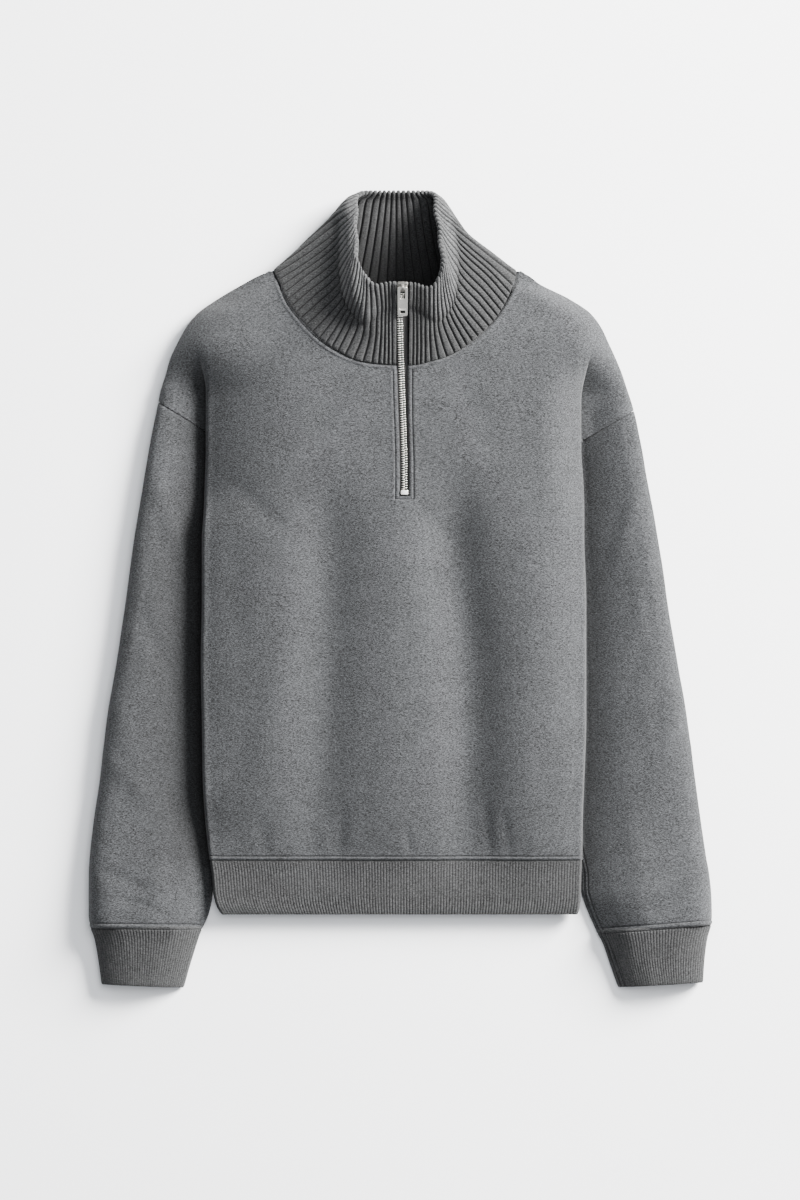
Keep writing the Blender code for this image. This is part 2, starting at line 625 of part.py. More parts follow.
COLLAR_RIGHT = [
    ((9.6, 239.5, None), (9.8, 261.1, None), (10.2, 282.5, None), (10.2, 303.9, 57),
     (10.4, 322.6, 67)),
    ((19.5, 240.2, None), (20.0, 261.1, None), (20.0, 281.4, None), (20.0, 300.7, 56.5),
     (20.0, 321.0, 67)),
    ((32.8, 243.6, None), (31.8, 261.1, None), (31.2, 275.0, None), (31.2, 293.2, 54.5),
     (30.7, 318.9, 66.5)),
    ((49.4, 248.6, None), (44.1, 263.2, None), (40.3, 277.1, None), (39.3, 290.0, 51),
     (38.7, 324.2, 66.5)),
    ((61.2, 254.4, None), (53.2, 270.7, None), (47.8, 283.6, None), (45.7, 295.3, 49),
     (43.5, 332.8, 66)),
    ((76.2, 264.8, None), (65.5, 280.9, None), (57.5, 294.2, None), (52.6, 308.2, 47),
     (45.2, 345.6, 64.5)),
    ((88.5, 275.0, None), (75.1, 290.5, None), (63.3, 305.0, None), (55.9, 318.9, 44.5),
     (45.2, 355.2, 61)),
    ((98.7, 286.0, None), (82.6, 305.0, None), (68.2, 319.9, None), (57.2, 336.0, 42),
     (44.1, 365.9, 57.5)),
    ((106.7, 297.2, None), (88.0, 318.9, None), (70.8, 336.0, None), (57.5, 353.1, 39),
     (43.0, 375.6, 52.5)),
    ((113.7, 310.0, None), (93.3, 332.8, None), (73.0, 351.0, None), (56.4, 368.1, 35.5),
     (41.4, 385.2, 47.5)),
    ((119.2, 323.9, None), (96.5, 344.5, None), (74.0, 363.3, None), (54.2, 380.9, 32),
     (39.8, 394.8, 42)),
    ((122.6, 337.5, None), (97.6, 355.2, None), (74.0, 373.4, None), (52.6, 390.6, 29),
     (38.7, 402.9, 38)),
    ((116.3, 339.0, 12), (96.0, 357.4, 13.5), (75.6, 372.9, 18), (55.3, 393.8, 24),
     (38.7, 409.3, 32.5)),
    ((105.1, 335.5, 6.5), (90.1, 357.9, 7), (71.9, 376.1, 10.5), (52.6, 402.3, 17.5),
     (38.7, 414.6, 27)),
    ((90.1, 330.0, 3.6), (77.3, 356.3, 4), (65.5, 380.9, 5.5), (49.4, 408.7, 11.5),
     (37.7, 419.4, 21)),
    ((67.6, 325.5, 3.1), (58.0, 356.3, 3.1), (51.0, 388.4, 3.8), (43.0, 414.1, 7.5),
     (31.8, 422.7, 14.5)),
    ((32.3, 321.6, 3.1), (25.4, 356.3, 3.1), (20.5, 388.4, 3.3), (17.3, 414.1, 5.5),
     (14.7, 423.2, 11)),
]
COLLAR_BACK = ((-4.1, 320.6, 3.1), (-4.1, 356.3, 3.1), (-4.1, 388.4, 3.2), (-4.1, 413.0, 4.5),
               (-4.1, 423.2, 9.5))


def body_height(side, x, y):
    w = fold_weight(y)
    return (1.0 - w) * shoulder_height(side, x, y) + w * front_height(side, x, y)


def spline(points, count):
    """Even parameter samples of a curve through the points."""
    pts = [np.array(p, dtype=float) for p in points]
    pts = [2 * pts[0] - pts[1]] + pts + [2 * pts[-1] - pts[-2]]
    made = []
    for k in range(count):
        s = k / (count - 1) * (len(pts) - 3)
        i = min(int(s), len(pts) - 4)
        t = s - i
        p0, p1, p2, p3 = pts[i:i + 4]
        made.append(0.5 * (2 * p1 + (p2 - p0) * t + (2 * p0 - 5 * p1 + 4 * p2 - p3) * t * t
                           + (3 * p1 - p0 - 3 * p2 + p3) * t ** 3))
    return made


def station(side, row):
    """Middle line of the collar from the neck seam to its crest."""
    x, y, z = row[0]
    start = z if z is not None else body_height(side, x, min(y, 338.0))
    fold = row[3][2]
    fixed = [(x, y, start)]
    for k in (1, 2):
        px, py, pz = row[k]
        fixed.append((px, py, pz if pz is not None else start + (fold - start) * k / 3.0))
    return spline(fixed + [row[3], row[4]], 9)


stations = [station(-1, row) for row in COLLAR_LEFT] + [spline(COLLAR_BACK, 9)]
stations += [station(1, row) for row in COLLAR_RIGHT[::-1]]
zip_left, zip_right = stations[0], stations[-1]
sheet_solid("collar", stations, COLLAR, rib, round_end=True)

# ---------------------------------------------------------------- zip
middle = [(np.array(a) + np.array(b)) / 2.0 for a, b in zip(zip_left, zip_right)]


def collar_z(y):
    return float(np.interp(y, [p[1] for p in middle], [p[2] for p in middle]))


def chain_x(y):
    return float(np.interp(y, [98.0, 130.5, 164.8, 199.0, 233.3, 287.8, 323.0],
                           [4.9, 4.9, 4.1, 2.8, 1.6, 0.2, 3.0]))


tape = []
for y in (92.0, 110.0, 135.0, 165.0, 200.0, 226.0):
    low = min(front_height(-1, chain_x(y) + step, y) for step in (-11.0, 0.0, 11.0))
    base = low - CLOTH / 2.0 - 1.3 - TAPE / 2.0
    tape.append([(chain_x(y) + step, y, base) for step in (-11.0, -3.5, 3.5, 11.0)])
for y in (232.0, 241.0, 262.0, 283.0, 304.0, 312.0, 320.4):
    base = collar_z(y) - 0.6 if y > 239.0 else front_height(-1, chain_x(y), y) - 1.9
    low, high = -2.7, 8.2
    tape.append([(low, y, base), (low + 3.0, y, base), (high - 3.0, y, base), (high, y, base)])
sheet_solid("zip_tape", tape, TAPE, tape_cloth)

chain = []
for y in (106.2, 135.0, 165.0, 200.0, 226.0, 241.0, 262.0, 283.0, 304.0, 313.8):
    base = float(np.interp(y, [row[0][1] for row in tape], [row[0][2] for row in tape])) + 1.95
    half = CHAIN_WIDTH / 2.0
    chain.append([(chain_x(y) - half, y, base), (chain_x(y) + half, y, base)])
sheet_solid("zip_chain", chain, 2.4, metal)

ACROSS = np.array((1.0, 0.0, 0.0))
stop_z = front_height(-1, 4.9, 102.7) - 0.2
box_solid("zip_stop", (4.9, 102.7, stop_z), (ACROSS, np.array((0.0, 1.0, 0.0)),
                                             np.array((0.0, 0.0, 1.0))), (3.5, 2.1, 2.0), metal)

# slider: body with a bridge, in its own frame (across, along, up)
SLIDER_AT = np.array((3.0, 320.6, collar_z(320.6) + 2.7))
SLOPE = math.radians(25.0)
ALONG = np.array((0.0, math.cos(SLOPE), math.sin(SLOPE)))
UP = np.array((0.0, -math.sin(SLOPE), math.cos(SLOPE)))


def local(a, b, c):
    return SLIDER_AT + ACROSS * a + ALONG * b + UP * c


def slider_mesh():
    xs, ys, top, low = (-5.6, -1.4, 1.4, 5.6), (-4.6, -3.9, -1.9, 1.9, 3.9, 4.6), 2.2, -2.2
    inner, outer_top = top + 3.0, top + 4.3
    points, faces, place = [], [], {}

    def vertex(a, b, c):
        key = (round(a, 3), round(b, 3), round(c, 3))
        if key not in place:
            place[key] = len(points)
            points.append(local(a, b, c))
        return place[key]

    for i in range(3):
        for j in range(5):
            if i == 1 and j in (1, 3):
                continue
            faces.append([vertex(xs[i], ys[j], top), vertex(xs[i + 1], ys[j], top),
                          vertex(xs[i + 1], ys[j + 1], top), vertex(xs[i], ys[j + 1], top)])
    grid_low = [[vertex(x * (0.72 if y == ys[0] else 1.0), y, low) for x in (xs[0], xs[3])]
                for y in (ys[0], ys[5])]
    faces.append([grid_low[0][0], grid_low[1][0], grid_low[1][1], grid_low[0][1]])
    rim = {0: [vertex(x, ys[0], top) for x in xs], 1: [vertex(x, ys[5], top) for x in xs]}
    faces.append([grid_low[0][0], grid_low[0][1]] + rim[0][::-1])
    faces.append([grid_low[1][1], grid_low[1][0]] + rim[1])
    faces.append([grid_low[1][0], grid_low[0][0]] + [vertex(xs[0], y, top) for y in ys])
    faces.append([grid_low[0][1], grid_low[1][1]] + [vertex(xs[3], y, top) for y in ys[::-1]])
    l, r = -1.4, 1.4
    a0, a1, a2, a3 = (vertex(l, -3.9, top), vertex(r, -3.9, top), vertex(r, -1.9, top),
                      vertex(l, -1.9, top))
    b0, b1, b2, b3 = (vertex(l, 1.9, top), vertex(r, 1.9, top), vertex(r, 3.9, top),
                      vertex(l, 3.9, top))
    ta0, ta1 = vertex(l, -3.0, outer_top), vertex(r, -3.0, outer_top)
    tb2, tb3 = vertex(r, 3.0, outer_top), vertex(l, 3.0, outer_top)
    ia3, ia2 = vertex(l, -1.9, inner), vertex(r, -1.9, inner)
    ib0, ib1 = vertex(l, 1.9, inner), vertex(r, 1.9, inner)
    faces += [[a0, a1, ta1, ta0], [ta0, ta1, tb2, tb3], [b2, b3, tb3, tb2], [a2, a3, ia3, ia2],
              [ia3, ib0, ib1, ia2], [b0, b1, ib1, ib0], [a3, a0, ta0, ia3],
              [ia3, ta0, tb3, ib0], [b3, b0, ib0, tb3], [a1, a2, ia2, ta1],
              [ta1, ia2, ib1, tb2], [b1, b2, tb2, ib1]]
    return points, faces


points, faces = slider_mesh()
slider = solid("zip_slider", points, faces, metal)
work = bmesh.new()
work.from_mesh(slider.data)
bmesh.ops.triangulate(work, faces=work.faces[:])
bmesh.ops.recalc_face_normals(work, faces=work.faces[:])
work.to_mesh(slider.data)
work.free()

# pull tab: a plate with a slot for the bridge and a window near its free end
TAB_LENGTH = 33.0
TAB_THICK = 1.4
tab_rows = (1.1, -1.1, -9.8, -26.0, -28.8, 1.1 - TAB_LENGTH)
tab = []
for along in tab_rows:
    half = 4.9 + 0.3 * (1.1 - along) / TAB_LENGTH
    tab.append([local(a, along, 3.7) for a in (-half, -2.7, 2.7, half)])
sheet_solid("pull_tab", tab, TAB_THICK, metal, missing={(1, 1), (3, 1)})
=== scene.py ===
import math

import bmesh
import bpy
import numpy as np
from bpy.props import FloatProperty, FloatVectorProperty, PointerProperty
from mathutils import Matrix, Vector


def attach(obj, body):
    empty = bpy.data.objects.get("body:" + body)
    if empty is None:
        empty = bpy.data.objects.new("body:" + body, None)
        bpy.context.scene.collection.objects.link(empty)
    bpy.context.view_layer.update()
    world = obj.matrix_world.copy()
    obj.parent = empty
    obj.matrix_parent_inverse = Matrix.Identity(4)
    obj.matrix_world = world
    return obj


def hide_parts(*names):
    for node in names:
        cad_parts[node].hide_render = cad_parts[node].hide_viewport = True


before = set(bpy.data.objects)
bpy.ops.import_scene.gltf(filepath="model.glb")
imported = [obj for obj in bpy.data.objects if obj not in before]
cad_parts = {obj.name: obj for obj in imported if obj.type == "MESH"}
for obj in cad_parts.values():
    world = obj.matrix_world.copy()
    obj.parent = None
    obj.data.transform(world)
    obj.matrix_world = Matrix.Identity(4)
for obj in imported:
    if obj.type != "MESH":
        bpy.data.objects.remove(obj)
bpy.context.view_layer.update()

bl_info = {
    "name": "Half-zip sweater",
    "version": (1, 0, 0),
    "blender": (4, 5, 0),
    "location": "3D View > Sidebar > Sweater",
    "description": "Builds a half-zip fleece sweater laid flat, around its fixed frame",
    "category": "Object",
}

BODY = "garment"
MM = 0.001

# ---------------------------------------------------------------- cut and lay (mm)
CLOTH = 2.4            # fleece thickness
RIB = 2.2              # hem and cuff rib thickness
COLLAR = 6.0           # doubled collar rib
LAYER = 3.2            # step between cloth layers that lie on each other
TUCKED = 6.4           # height of the sleeve's tucked part, with its clearance
FLOOR = CLOTH / 2 + 0.05
RIM = 1.2              # from an outer edge in to the middle surface
RIM_HEIGHT = 12.0      # middle surface at the outer edge of sleeve and shoulder
SLEEVE_CREST = 23.5    # middle surface of the sleeve at its crest
SLEEVE_LOW = FLOOR + 3.4
SLEEVE_ROUND = 24.0    # width over which the sleeve rises from its rim
SLEEVE_FALL = 66.0     # width over which it falls to the body edge
FULL_FRONT = 44.0      # middle surface of the front where it is highest
EDGE_RISE = 10.5       # from the foot of the folded body edge to the front's surface
WALL_MORE = 8.2        # what that gains where the edge stands high
STRIP_IN = 7.4         # from the body edge to the strip folded under it
STRIP_END = 1.6        # least room between the tucked sleeve's edge and the strip's ends
BODY_ROUND = {-1: 118.0, 1: 44.0}      # width over which the front rises from its edge
SHOULDER_ROUND = {-1: 62.0, 1: 44.0}   # the same for the shoulder
SLIT_END = 98.4        # lower end of the zip opening
NECK_Y = 238.6         # neck seam at the zip
SHOULDER_Y = 339.7     # where the neck seam meets the shoulder
BACK_MIDDLE = -4.1     # x of the back's middle line
SAME = 0.01            # rows closer than this are the same row
WORD = {-1: "left", 1: "right"}

# y, left outer edge, left body edge, right body edge, right outer edge
OUTLINE = [
    (339.7, -135.7, -134.6, 124.4, 125.4), (332.8, -152.8, -145.3, 132.9, 139.3),
    (325.3, -166.7, -156.0, 139.3, 148.9), (309.2, -194.5, -182.8, 167.1, 181.0),
    (293.2, -217.0, -204.2, 189.6, 204.6), (277.1, -229.8, -213.8, 202.4, 216.4),
    (261.1, -238.4, -215.9, 204.6, 223.8), (245.0, -245.9, -212.7, 201.4, 231.3),
    (229.0, -250.2, -209.5, 198.2, 237.8), (212.9, -255.5, -207.4, 195.0, 243.1),
    (200.1, -258.2, -207.4, 193.9, 247.4), (183.0, -261.7, -207.4, 193.9, 252.2),
    (166.9, -265.1, -207.4, 193.9, 255.5), (148.7, -268.4, -207.4, 193.9, 259.2),
    (116.6, -273.7, -208.4, 196.0, 264.5), (84.5, -279.1, -209.5, 197.1, 270.9),
    (52.4, -284.4, -211.6, 197.1, 276.3), (20.3, -288.7, -211.6, 198.2, 281.6),
    (-11.8, -293.0, -211.6, 199.2, 285.9), (-76.0, -302.6, -212.7, 199.2, 296.6),
    (-140.2, -313.3, -211.6, 199.2, 307.3), (-204.4, -320.8, -210.6, 197.1, 315.9),
    (-247.2, -327.2, -207.9, 195.5, 321.7), (-286.8, -331.5, -203.6, 195.0, 327.6),
    (-303.0, -332.5, -201.2, 194.2, 330.5), (-328.0, -332.6, -199.0, 193.6, 333.0),
    (-340.0, -332.6, -195.4, 192.2, 333.4), (-347.0, -332.6, -191.0, 190.6, 333.5),
    (-361.5, -331.0, -182.0, 185.0, 333.5),
]
# y, inner edge of the left sleeve, inner edge of the right sleeve (tucked under the body)
SLEEVE_INNER = [
    (63.1, -117.5, 102.0), (-11.8, -136.7, 124.3), (-97.4, -158.1, 145.7),
    (-183.0, -177.4, 165.0), (-247.2, -190.2, 180.0), (-286.8, -196.1, 189.6),
    (-307.1, -198.3, 193.5), (-320.0, -199.6, 193.5), (-332.8, -201.0, 196.4),
    (-346.7, -204.0, 201.6), (-359.5, -209.5, 207.3), (-368.1, -214.9, 211.0),
]
# y, left side seam, right side seam (on the strip folded under each side)
SIDE_SEAM = [(63.1, -116.5, 101.0), (-140.0, -140.0, 124.0), (-286.8, -158.0, 150.0),
             (-347.0, -143.0, 145.0)]
# height of the front's middle surface: y, height
FRONT_HEIGHT = [(339.7, 18.0), (325.3, 24.0), (309.2, 29.0), (293.2, 33.5), (277.1, 37.0),
                (261.1, 39.5), (245.0, 41.0), (229.0, 42.0), (200.1, 43.5), (116.6, 44.0),
                (31.0, 43.5), (-76.0, 41.5), (-161.6, 38.0), (-225.8, 32.0), (-263.2, 26.5),
                (-286.8, 22.0), (-303.0, 20.0), (-328.0, 18.5), (-347.0, 17.0)]
# neck seam on the front, from the zip to the shoulder: x, y for the left and the right
NECK = {-1: [(-3.4, 238.6), (-33.6, 240.8), (-49.4, 244.7), (-65.3, 251.7), (-81.1, 261.5),
             (-95.0, 273.4), (-110.0, 290.0), (-120.7, 305.0), (-127.6, 321.0), (-134.6, 339.7)],
        1: [(8.8, 238.6), (21.6, 239.7), (37.7, 244.0), (53.4, 248.7), (67.3, 256.6),
            (83.1, 268.6), (96.9, 281.4), (115.8, 309.2), (122.7, 324.9), (124.4, 339.7)]}
# y, left edge and right edge of the zip opening
SLIT = [(98.4, -0.6, 10.3), (130.5, -0.4, 10.3), (164.8, -1.1, 9.4), (199.0, -2.4, 8.8),
        (233.3, -3.4, 8.8), (238.6, -3.6, 8.8)]
# armhole: where the seam meets the outer edge, the body edge, and the underarm
ARMHOLE = {-1: ((-258.2, 200.1), (-206.8, 168.5), (-117.5, 63.1)),
           1: ((250.5, 190.5), (194.6, 158.4), (101.0, 60.0))}
# x of the zip's middle by y
ZIP_LINE = [(98.0, 4.9), (130.5, 4.9), (164.8, 4.1), (199.0, 2.8), (233.3, 1.6), (287.8, 0.2),
            (323.0, 3.0)]


# ---------------------------------------------------------------- curves
def meet(before, after):
    """Slope where two spans meet: 0 at a turn, so that the curve doesn't overshoot."""
    both = before * after
    return np.where(both > 0.0, 2.0 * both / np.where(both > 0.0, before + after, 1.0), 0.0)


def hermite(t, a, b, slope_a, slope_b):
    """Cubic from a to b with the given slopes at its ends, for t from 0 to 1."""
    return ((2 * t**3 - 3 * t**2 + 1) * a + (t**3 - 2 * t**2 + t) * slope_a
            + (3 * t**2 - 2 * t**3) * b + (t**3 - t**2) * slope_b)


def curve(table, index):
    """Smooth function of a table's first column, without overshoot."""
    rows = sorted(table)
    at = np.array([row[0] for row in rows])
    value = np.array([row[index] for row in rows])
    step = np.diff(at)
    slope = np.diff(value) / step
    tangent = np.concatenate([slope[:1], meet(slope[:-1], slope[1:]), slope[-1:]])

    def evaluate(y):
        y = np.clip(y, at[0], at[-1])
        k = np.clip(np.searchsorted(at, y, side="right") - 1, 0, len(step) - 1)
        return hermite((y - at[k]) / step[k], value[k], value[k + 1],
                       step[k] * tangent[k], step[k] * tangent[k + 1])

    return evaluate


def both_sides(table, left=1, right=2):
    """Curves of a table's columns for the left side (-1) and the right side (1)."""
    return {-1: curve(table, left), 1: curve(table, right)}


def refine(grid, samples):
    """Smooth curve through the columns of a grid (rows, columns, 3), read at column numbers."""
    grid = np.asarray(grid, dtype=float)
    slope = np.diff(grid, axis=1)
    tangent = np.concatenate([slope[:, :1], meet(slope[:, :-1], slope[:, 1:]), slope[:, -1:]],
                             axis=1)
    samples = np.asarray(samples, dtype=float)
    k = np.clip(samples.astype(int), 0, grid.shape[1] - 2)
    return hermite((samples - k)[None, :, None], grid[:, k], grid[:, k + 1],
                   tangent[:, k], tangent[:, k + 1])


def bend_through(knots, values, samples):
    """Smoothest curve through the values at the knots, along the first axis."""
    knots, values = np.asarray(knots, float), np.asarray(values, float)
    count, h = len(knots), np.diff(knots)
    system = np.eye(count)
    right = np.zeros_like(values)
    for k in range(1, count - 1):
        system[k, k - 1:k + 2] = h[k - 1], 2.0 * (h[k - 1] + h[k]), h[k]
        right[k] = 6.0 * ((values[k + 1] - values[k]) / h[k]
                          - (values[k] - values[k - 1]) / h[k - 1])
    second = np.linalg.solve(system, right.reshape(count, -1)).reshape(values.shape)
    k = np.clip(np.searchsorted(knots, samples, side="right") - 1, 0, count - 2)
    shape = (-1,) + (1,) * (values.ndim - 1)
    step = h[k].reshape(shape)
    b = ((samples - knots[k]) / h[k]).reshape(shape)
    a = 1.0 - b
    return (a * values[k] + b * values[k + 1]
            + ((a**3 - a) * second[k] + (b**3 - b) * second[k + 1]) * step**2 / 6.0)


def ease(low, high, value):
    t = np.clip((np.asarray(value, dtype=float) - low) / (high - low), 0.0, 1.0)
    return t * t * (3.0 - 2.0 * t)


def bell(value, centre, width):
    return np.exp(-((value - centre) / width) ** 2)


def bells(*rows):
    """Sum of soft lines: distance, its centre, half width and height."""
    return sum(height * bell(value, centre, width) for value, centre, width, height in rows)


def fade(distance, width):
    """1 at no distance, falling evenly to 0 at the width."""
    return np.clip(1.0 - distance / width, 0.0, 1.0)


def gaps(points, axis=0):
    """Distances between neighbouring points."""
    return np.linalg.norm(np.diff(points, axis=axis), axis=-1)


def running(steps, axis=0):
    """Running total along an axis, from 0."""
    return np.concatenate([np.zeros_like(np.take(steps, [0], axis)), np.cumsum(steps, axis)], axis)


OUTER, EDGE = both_sides(OUTLINE, 1, 4), both_sides(OUTLINE, 2, 3)
TUCK, SEAM_UNDER, SLIT_EDGE = (both_sides(table) for table in (SLEEVE_INNER, SIDE_SEAM, SLIT))
FULL_HEIGHT = curve(FRONT_HEIGHT, 1)
ZIP_X = curve(ZIP_LINE, 1)


# ---------------------------------------------------------------- how the cloth lies
def seam_line(side, x):
    """Y of the armhole seam at x."""
    top, cross, under = ARMHOLE[side]
    high = cross[1] + (x - cross[0]) / (top[0] - cross[0]) * (top[1] - cross[1])
    low = cross[1] + (x - cross[0]) / (under[0] - cross[0]) * (under[1] - cross[1])
    return np.where(side * x > side * cross[0], high, low)


def seam_x(side, y):
    """X of the armhole seam at y."""
    top, cross, under = ARMHOLE[side]
    high = cross[0] + (y - cross[1]) / (top[1] - cross[1]) * (top[0] - cross[0])
    low = cross[0] + (y - cross[1]) / (under[1] - cross[1]) * (under[0] - cross[0])
    return np.where(y >= cross[1], high, low)


def lift(side, x, y):
    """Height that the tucked sleeve gives to the layers above it."""
    beyond = -side * (x - TUCK[side](y))
    above = (y - seam_line(side, x)) * 0.78
    return TUCKED * (1.0 - ease(0.0, 30.0, np.maximum(beyond - 4.0, above - 14.0)))


def troughs(x, y):
    """The two long soft folds of the front and the ridges beside them."""
    reach = ease(150.0, 40.0, y) * ease(-345.0, -250.0, y)
    left = -79.0 - 6.0 * ease(20.0, -280.0, y)
    right = 58.0 + 15.0 * ease(60.0, -100.0, y)
    return reach * bells((x, -6.0, 28.0, 3.0), (x, 138.0, 26.0, 3.0), (x, left, 31.0, -9.6),
                         (x, right, 31.0, -14.0))


def creases(x, y, rows):
    """Small folds: x and y of both ends, half width, height (negative for a dip)."""
    total = 0.0
    for x0, y0, x1, y1, width, height in rows:
        along = np.array((x1 - x0, y1 - y0))
        size = np.hypot(*along)
        t = ((x - x0) * along[0] + (y - y0) * along[1]) / size**2
        away = ((x - x0) * along[1] - (y - y0) * along[0]) / size
        total = total + height * bell(away, 0.0, width) * ease(-0.25, 0.3, t) * ease(1.25, 0.7, t)
    return total


# small folds of the front: x0, y0, x1, y1, half width, height
FRONT_CREASES = [
    (-64.0, -284.0, -60.0, -236.0, 4.5, -1.3), (-78.0, -284.0, -83.0, -250.0, 5.0, 0.9),
    (96.0, -284.0, 92.0, -228.0, 5.0, -1.4), (118.0, -284.0, 112.0, -240.0, 4.0, -1.1),
    (140.0, -285.0, 150.0, -246.0, 5.0, 0.8), (12.0, -284.0, 6.0, -252.0, 5.0, -0.8),
    (-140.0, -284.0, -150.0, -244.0, 6.0, -0.9), (40.0, -285.0, 44.0, -255.0, 4.0, 0.7),
    (-8.0, 96.0, -62.0, 40.0, 9.0, -1.0), (14.0, 94.0, 60.0, 44.0, 9.0, -1.2),
    (-60.0, 236.0, -96.0, 150.0, 16.0, -1.2), (60.0, 236.0, 98.0, 150.0, 16.0, -1.2),
    (-188.0, 120.0, -120.0, 60.0, 12.0, -1.5), (180.0, 116.0, 120.0, 70.0, 12.0, -1.5),
    (-120.0, -60.0, -150.0, -200.0, 18.0, 1.6), (20.0, 30.0, 30.0, -180.0, 16.0, 1.0),
    (150.0, 60.0, 160.0, -120.0, 16.0, 1.2), (-180.0, 60.0, -170.0, -80.0, 14.0, -1.0),
]


def fold_foot(side, y):
    """Height of the folded-under strip at the body edge."""
    return FLOOR + np.where(y < ARMHOLE[side][1][1], lift(side, EDGE[side](y), y), TUCKED)


def wall_rise(y):
    """1 where the folded body edge stands high, between the chest and the hem, else 0."""
    return ease(-270.0, -200.0, y) * ease(110.0, 60.0, y)


def folded(y):
    """1 where the body's side is folded under, 0 where the shoulder is round."""
    return ease(268.0, 205.0, y)


def from_rim(side, x, y):
    """Distance inwards from the rim of sleeve or shoulder."""
    return np.maximum(0.0, -side * (x - OUTER[side](y)) - RIM)


def rim_height(y):
    """Middle surface at the shoulder's outer edge."""
    return RIM_HEIGHT + 6.0 * ease(300.0, SHOULDER_Y, y)


def front_height(side, x, y):
    """Middle surface of the front, inside the body edge."""
    inside = -side * (x - EDGE[side](y))
    full = FULL_HEIGHT(y)
    foot = fold_foot(side, y) + EDGE_RISE + WALL_MORE * wall_rise(y)
    rise = 1.0 - fade(inside - 3.0, BODY_ROUND[side]) ** 2.2
    folds = troughs(x, y) * full / FULL_FRONT
    folds = folds + creases(x, y, FRONT_CREASES) * ease(330.0, 250.0, y)
    return foot + (full - foot) * rise + folds * np.clip(inside / 60.0, -1.0, 1.0)


def shoulder_height(side, x, y):
    """Middle surface of the shoulder, as a round from the outer edge to the full height."""
    start = rim_height(y)
    rise = 1.0 - fade(from_rim(side, x, y), SHOULDER_ROUND[side]) ** 2.6
    return start + (FULL_HEIGHT(y) - start) * rise


def body_height(side, x, y):
    """Middle surface of the front and the shoulder above it."""
    w = folded(y)
    return (1.0 - w) * shoulder_height(side, x, y) + w * front_height(side, x, y)


def sleeve_height(side, x, y):
    """Middle surface of the sleeve's upper layer, outside the body edge."""
    crest = SLEEVE_CREST + 6.0 * ease(-250.0, -345.0, y)
    rise = np.sqrt(1.0 - fade(from_rim(side, x, y), SLEEVE_ROUND) ** 2)
    mix = ease(-310.0, -345.0, y)
    limit = (1.0 - mix) * EDGE[side](y) + mix * TUCK[side](y)
    open_width = np.maximum(0.0, side * (x - limit) - 2.0 * (1.0 - mix))
    fall = 1.0 - fade(open_width, SLEEVE_FALL) ** 1.5
    return SLEEVE_LOW + (RIM_HEIGHT - SLEEVE_LOW + (crest - RIM_HEIGHT) * rise) * fall


def seam_height(side, x, y):
    """Middle surface beside the armhole seam, down to the sleeve where the side is folded."""
    w = folded(y)
    valley = np.maximum(sleeve_height(side, x, y), FLOOR + TUCKED + 1.0)
    return (1.0 - w) * shoulder_height(side, x, y) + w * valley


# ---------------------------------------------------------------- meshes
def normals(grid, wrap):
    """Unit normals of a grid of points; wrap closes the rows into rings."""
    across = (np.roll(grid, -1, axis=1) - np.roll(grid, 1, axis=1)) if wrap \
        else np.gradient(grid, axis=1)
    found = np.cross(across, np.gradient(grid, axis=0))
    size = np.linalg.norm(found, axis=2, keepdims=True)
    return found / np.maximum(size, 1e-9)


def place_object(name, data):
    made = bpy.data.objects.new(name, data)
    bpy.context.scene.collection.objects.link(made)
    return made


def grid_mesh(name, grid, finish, wrap=False, missing=None, caps=False, sunk=None):
    """Mesh of a grid of points in millimetres, with a UV map in metres of cloth.

    sunk is painted shade and painted light: 1 for the painted shade in the bottom of a groove, 0
    on plain cloth and below 0 where light is painted on.
    """
    grid = np.asarray(grid, dtype=float)
    rows, columns = grid.shape[:2]
    right = np.arange(columns if wrap else columns - 1)
    r, c = np.meshgrid(np.arange(rows - 1), right, indexing="ij")
    keep = np.ones(r.shape, bool) if missing is None else ~missing[:rows - 1, :len(right)]
    r, c = r[keep], c[keep]
    n = (c + 1) % columns
    faces = np.stack([r * columns + c, r * columns + n, (r + 1) * columns + n,
                      (r + 1) * columns + c], axis=1).tolist()
    if caps:
        faces.append(list(range(columns))[::-1])
        faces.append([(rows - 1) * columns + k for k in range(columns)])
    mesh = bpy.data.meshes.new(name)
    mesh.from_pydata((grid.reshape(-1, 3) * MM).tolist(), [], faces)
    down = running(gaps(grid).max(axis=1))
    over = running(gaps(grid, 1), 1)
    over = over - over[:, columns // 2:columns // 2 + 1]
    uv = np.stack([over, np.repeat(down[:, None], columns, axis=1)], axis=2).reshape(-1, 2) * MM
    layer = mesh.uv_layers.new(name="cloth")
    corners = np.zeros(len(mesh.loops), np.int32)
    mesh.loops.foreach_get("vertex_index", corners)
    layer.data.foreach_set("uv", uv[corners].astype(np.float32).ravel())
    # the groove attribute holds painted shade and painted light, for grooves, seams and shaded
    # cloth alike
    groove = mesh.attributes.new("groove", "FLOAT", "POINT")
    if sunk is not None:
        groove.data.foreach_set("value", np.clip(sunk, -1.0, 1.0).astype(np.float32).ravel())
    mesh.validate()
    mesh.shade_smooth()
    mesh.materials.append(finish)
    return place_object(name, mesh)


def clean(mesh, merge=0.0, loose=False, outward=False):
    """Merges doubles, drops points without a face and turns the faces outwards, as asked."""
    work = bmesh.new()
    work.from_mesh(mesh)
    if merge:
        bmesh.ops.remove_doubles(work, verts=work.verts[:], dist=merge)
    if loose:
        alone = [point for point in work.verts if not point.link_faces]
        bmesh.ops.delete(work, geom=alone, context="VERTS")
    if outward:
        bmesh.ops.recalc_face_normals(work, faces=work.faces[:])
    work.to_mesh(mesh)
    work.free()


def apply_modifiers(piece):
    """Turns the evaluated piece into a plain mesh."""
    graph = bpy.context.evaluated_depsgraph_get()
    mesh = bpy.data.meshes.new_from_object(piece.evaluated_get(graph))
    piece.modifiers.clear()
    piece.data = mesh


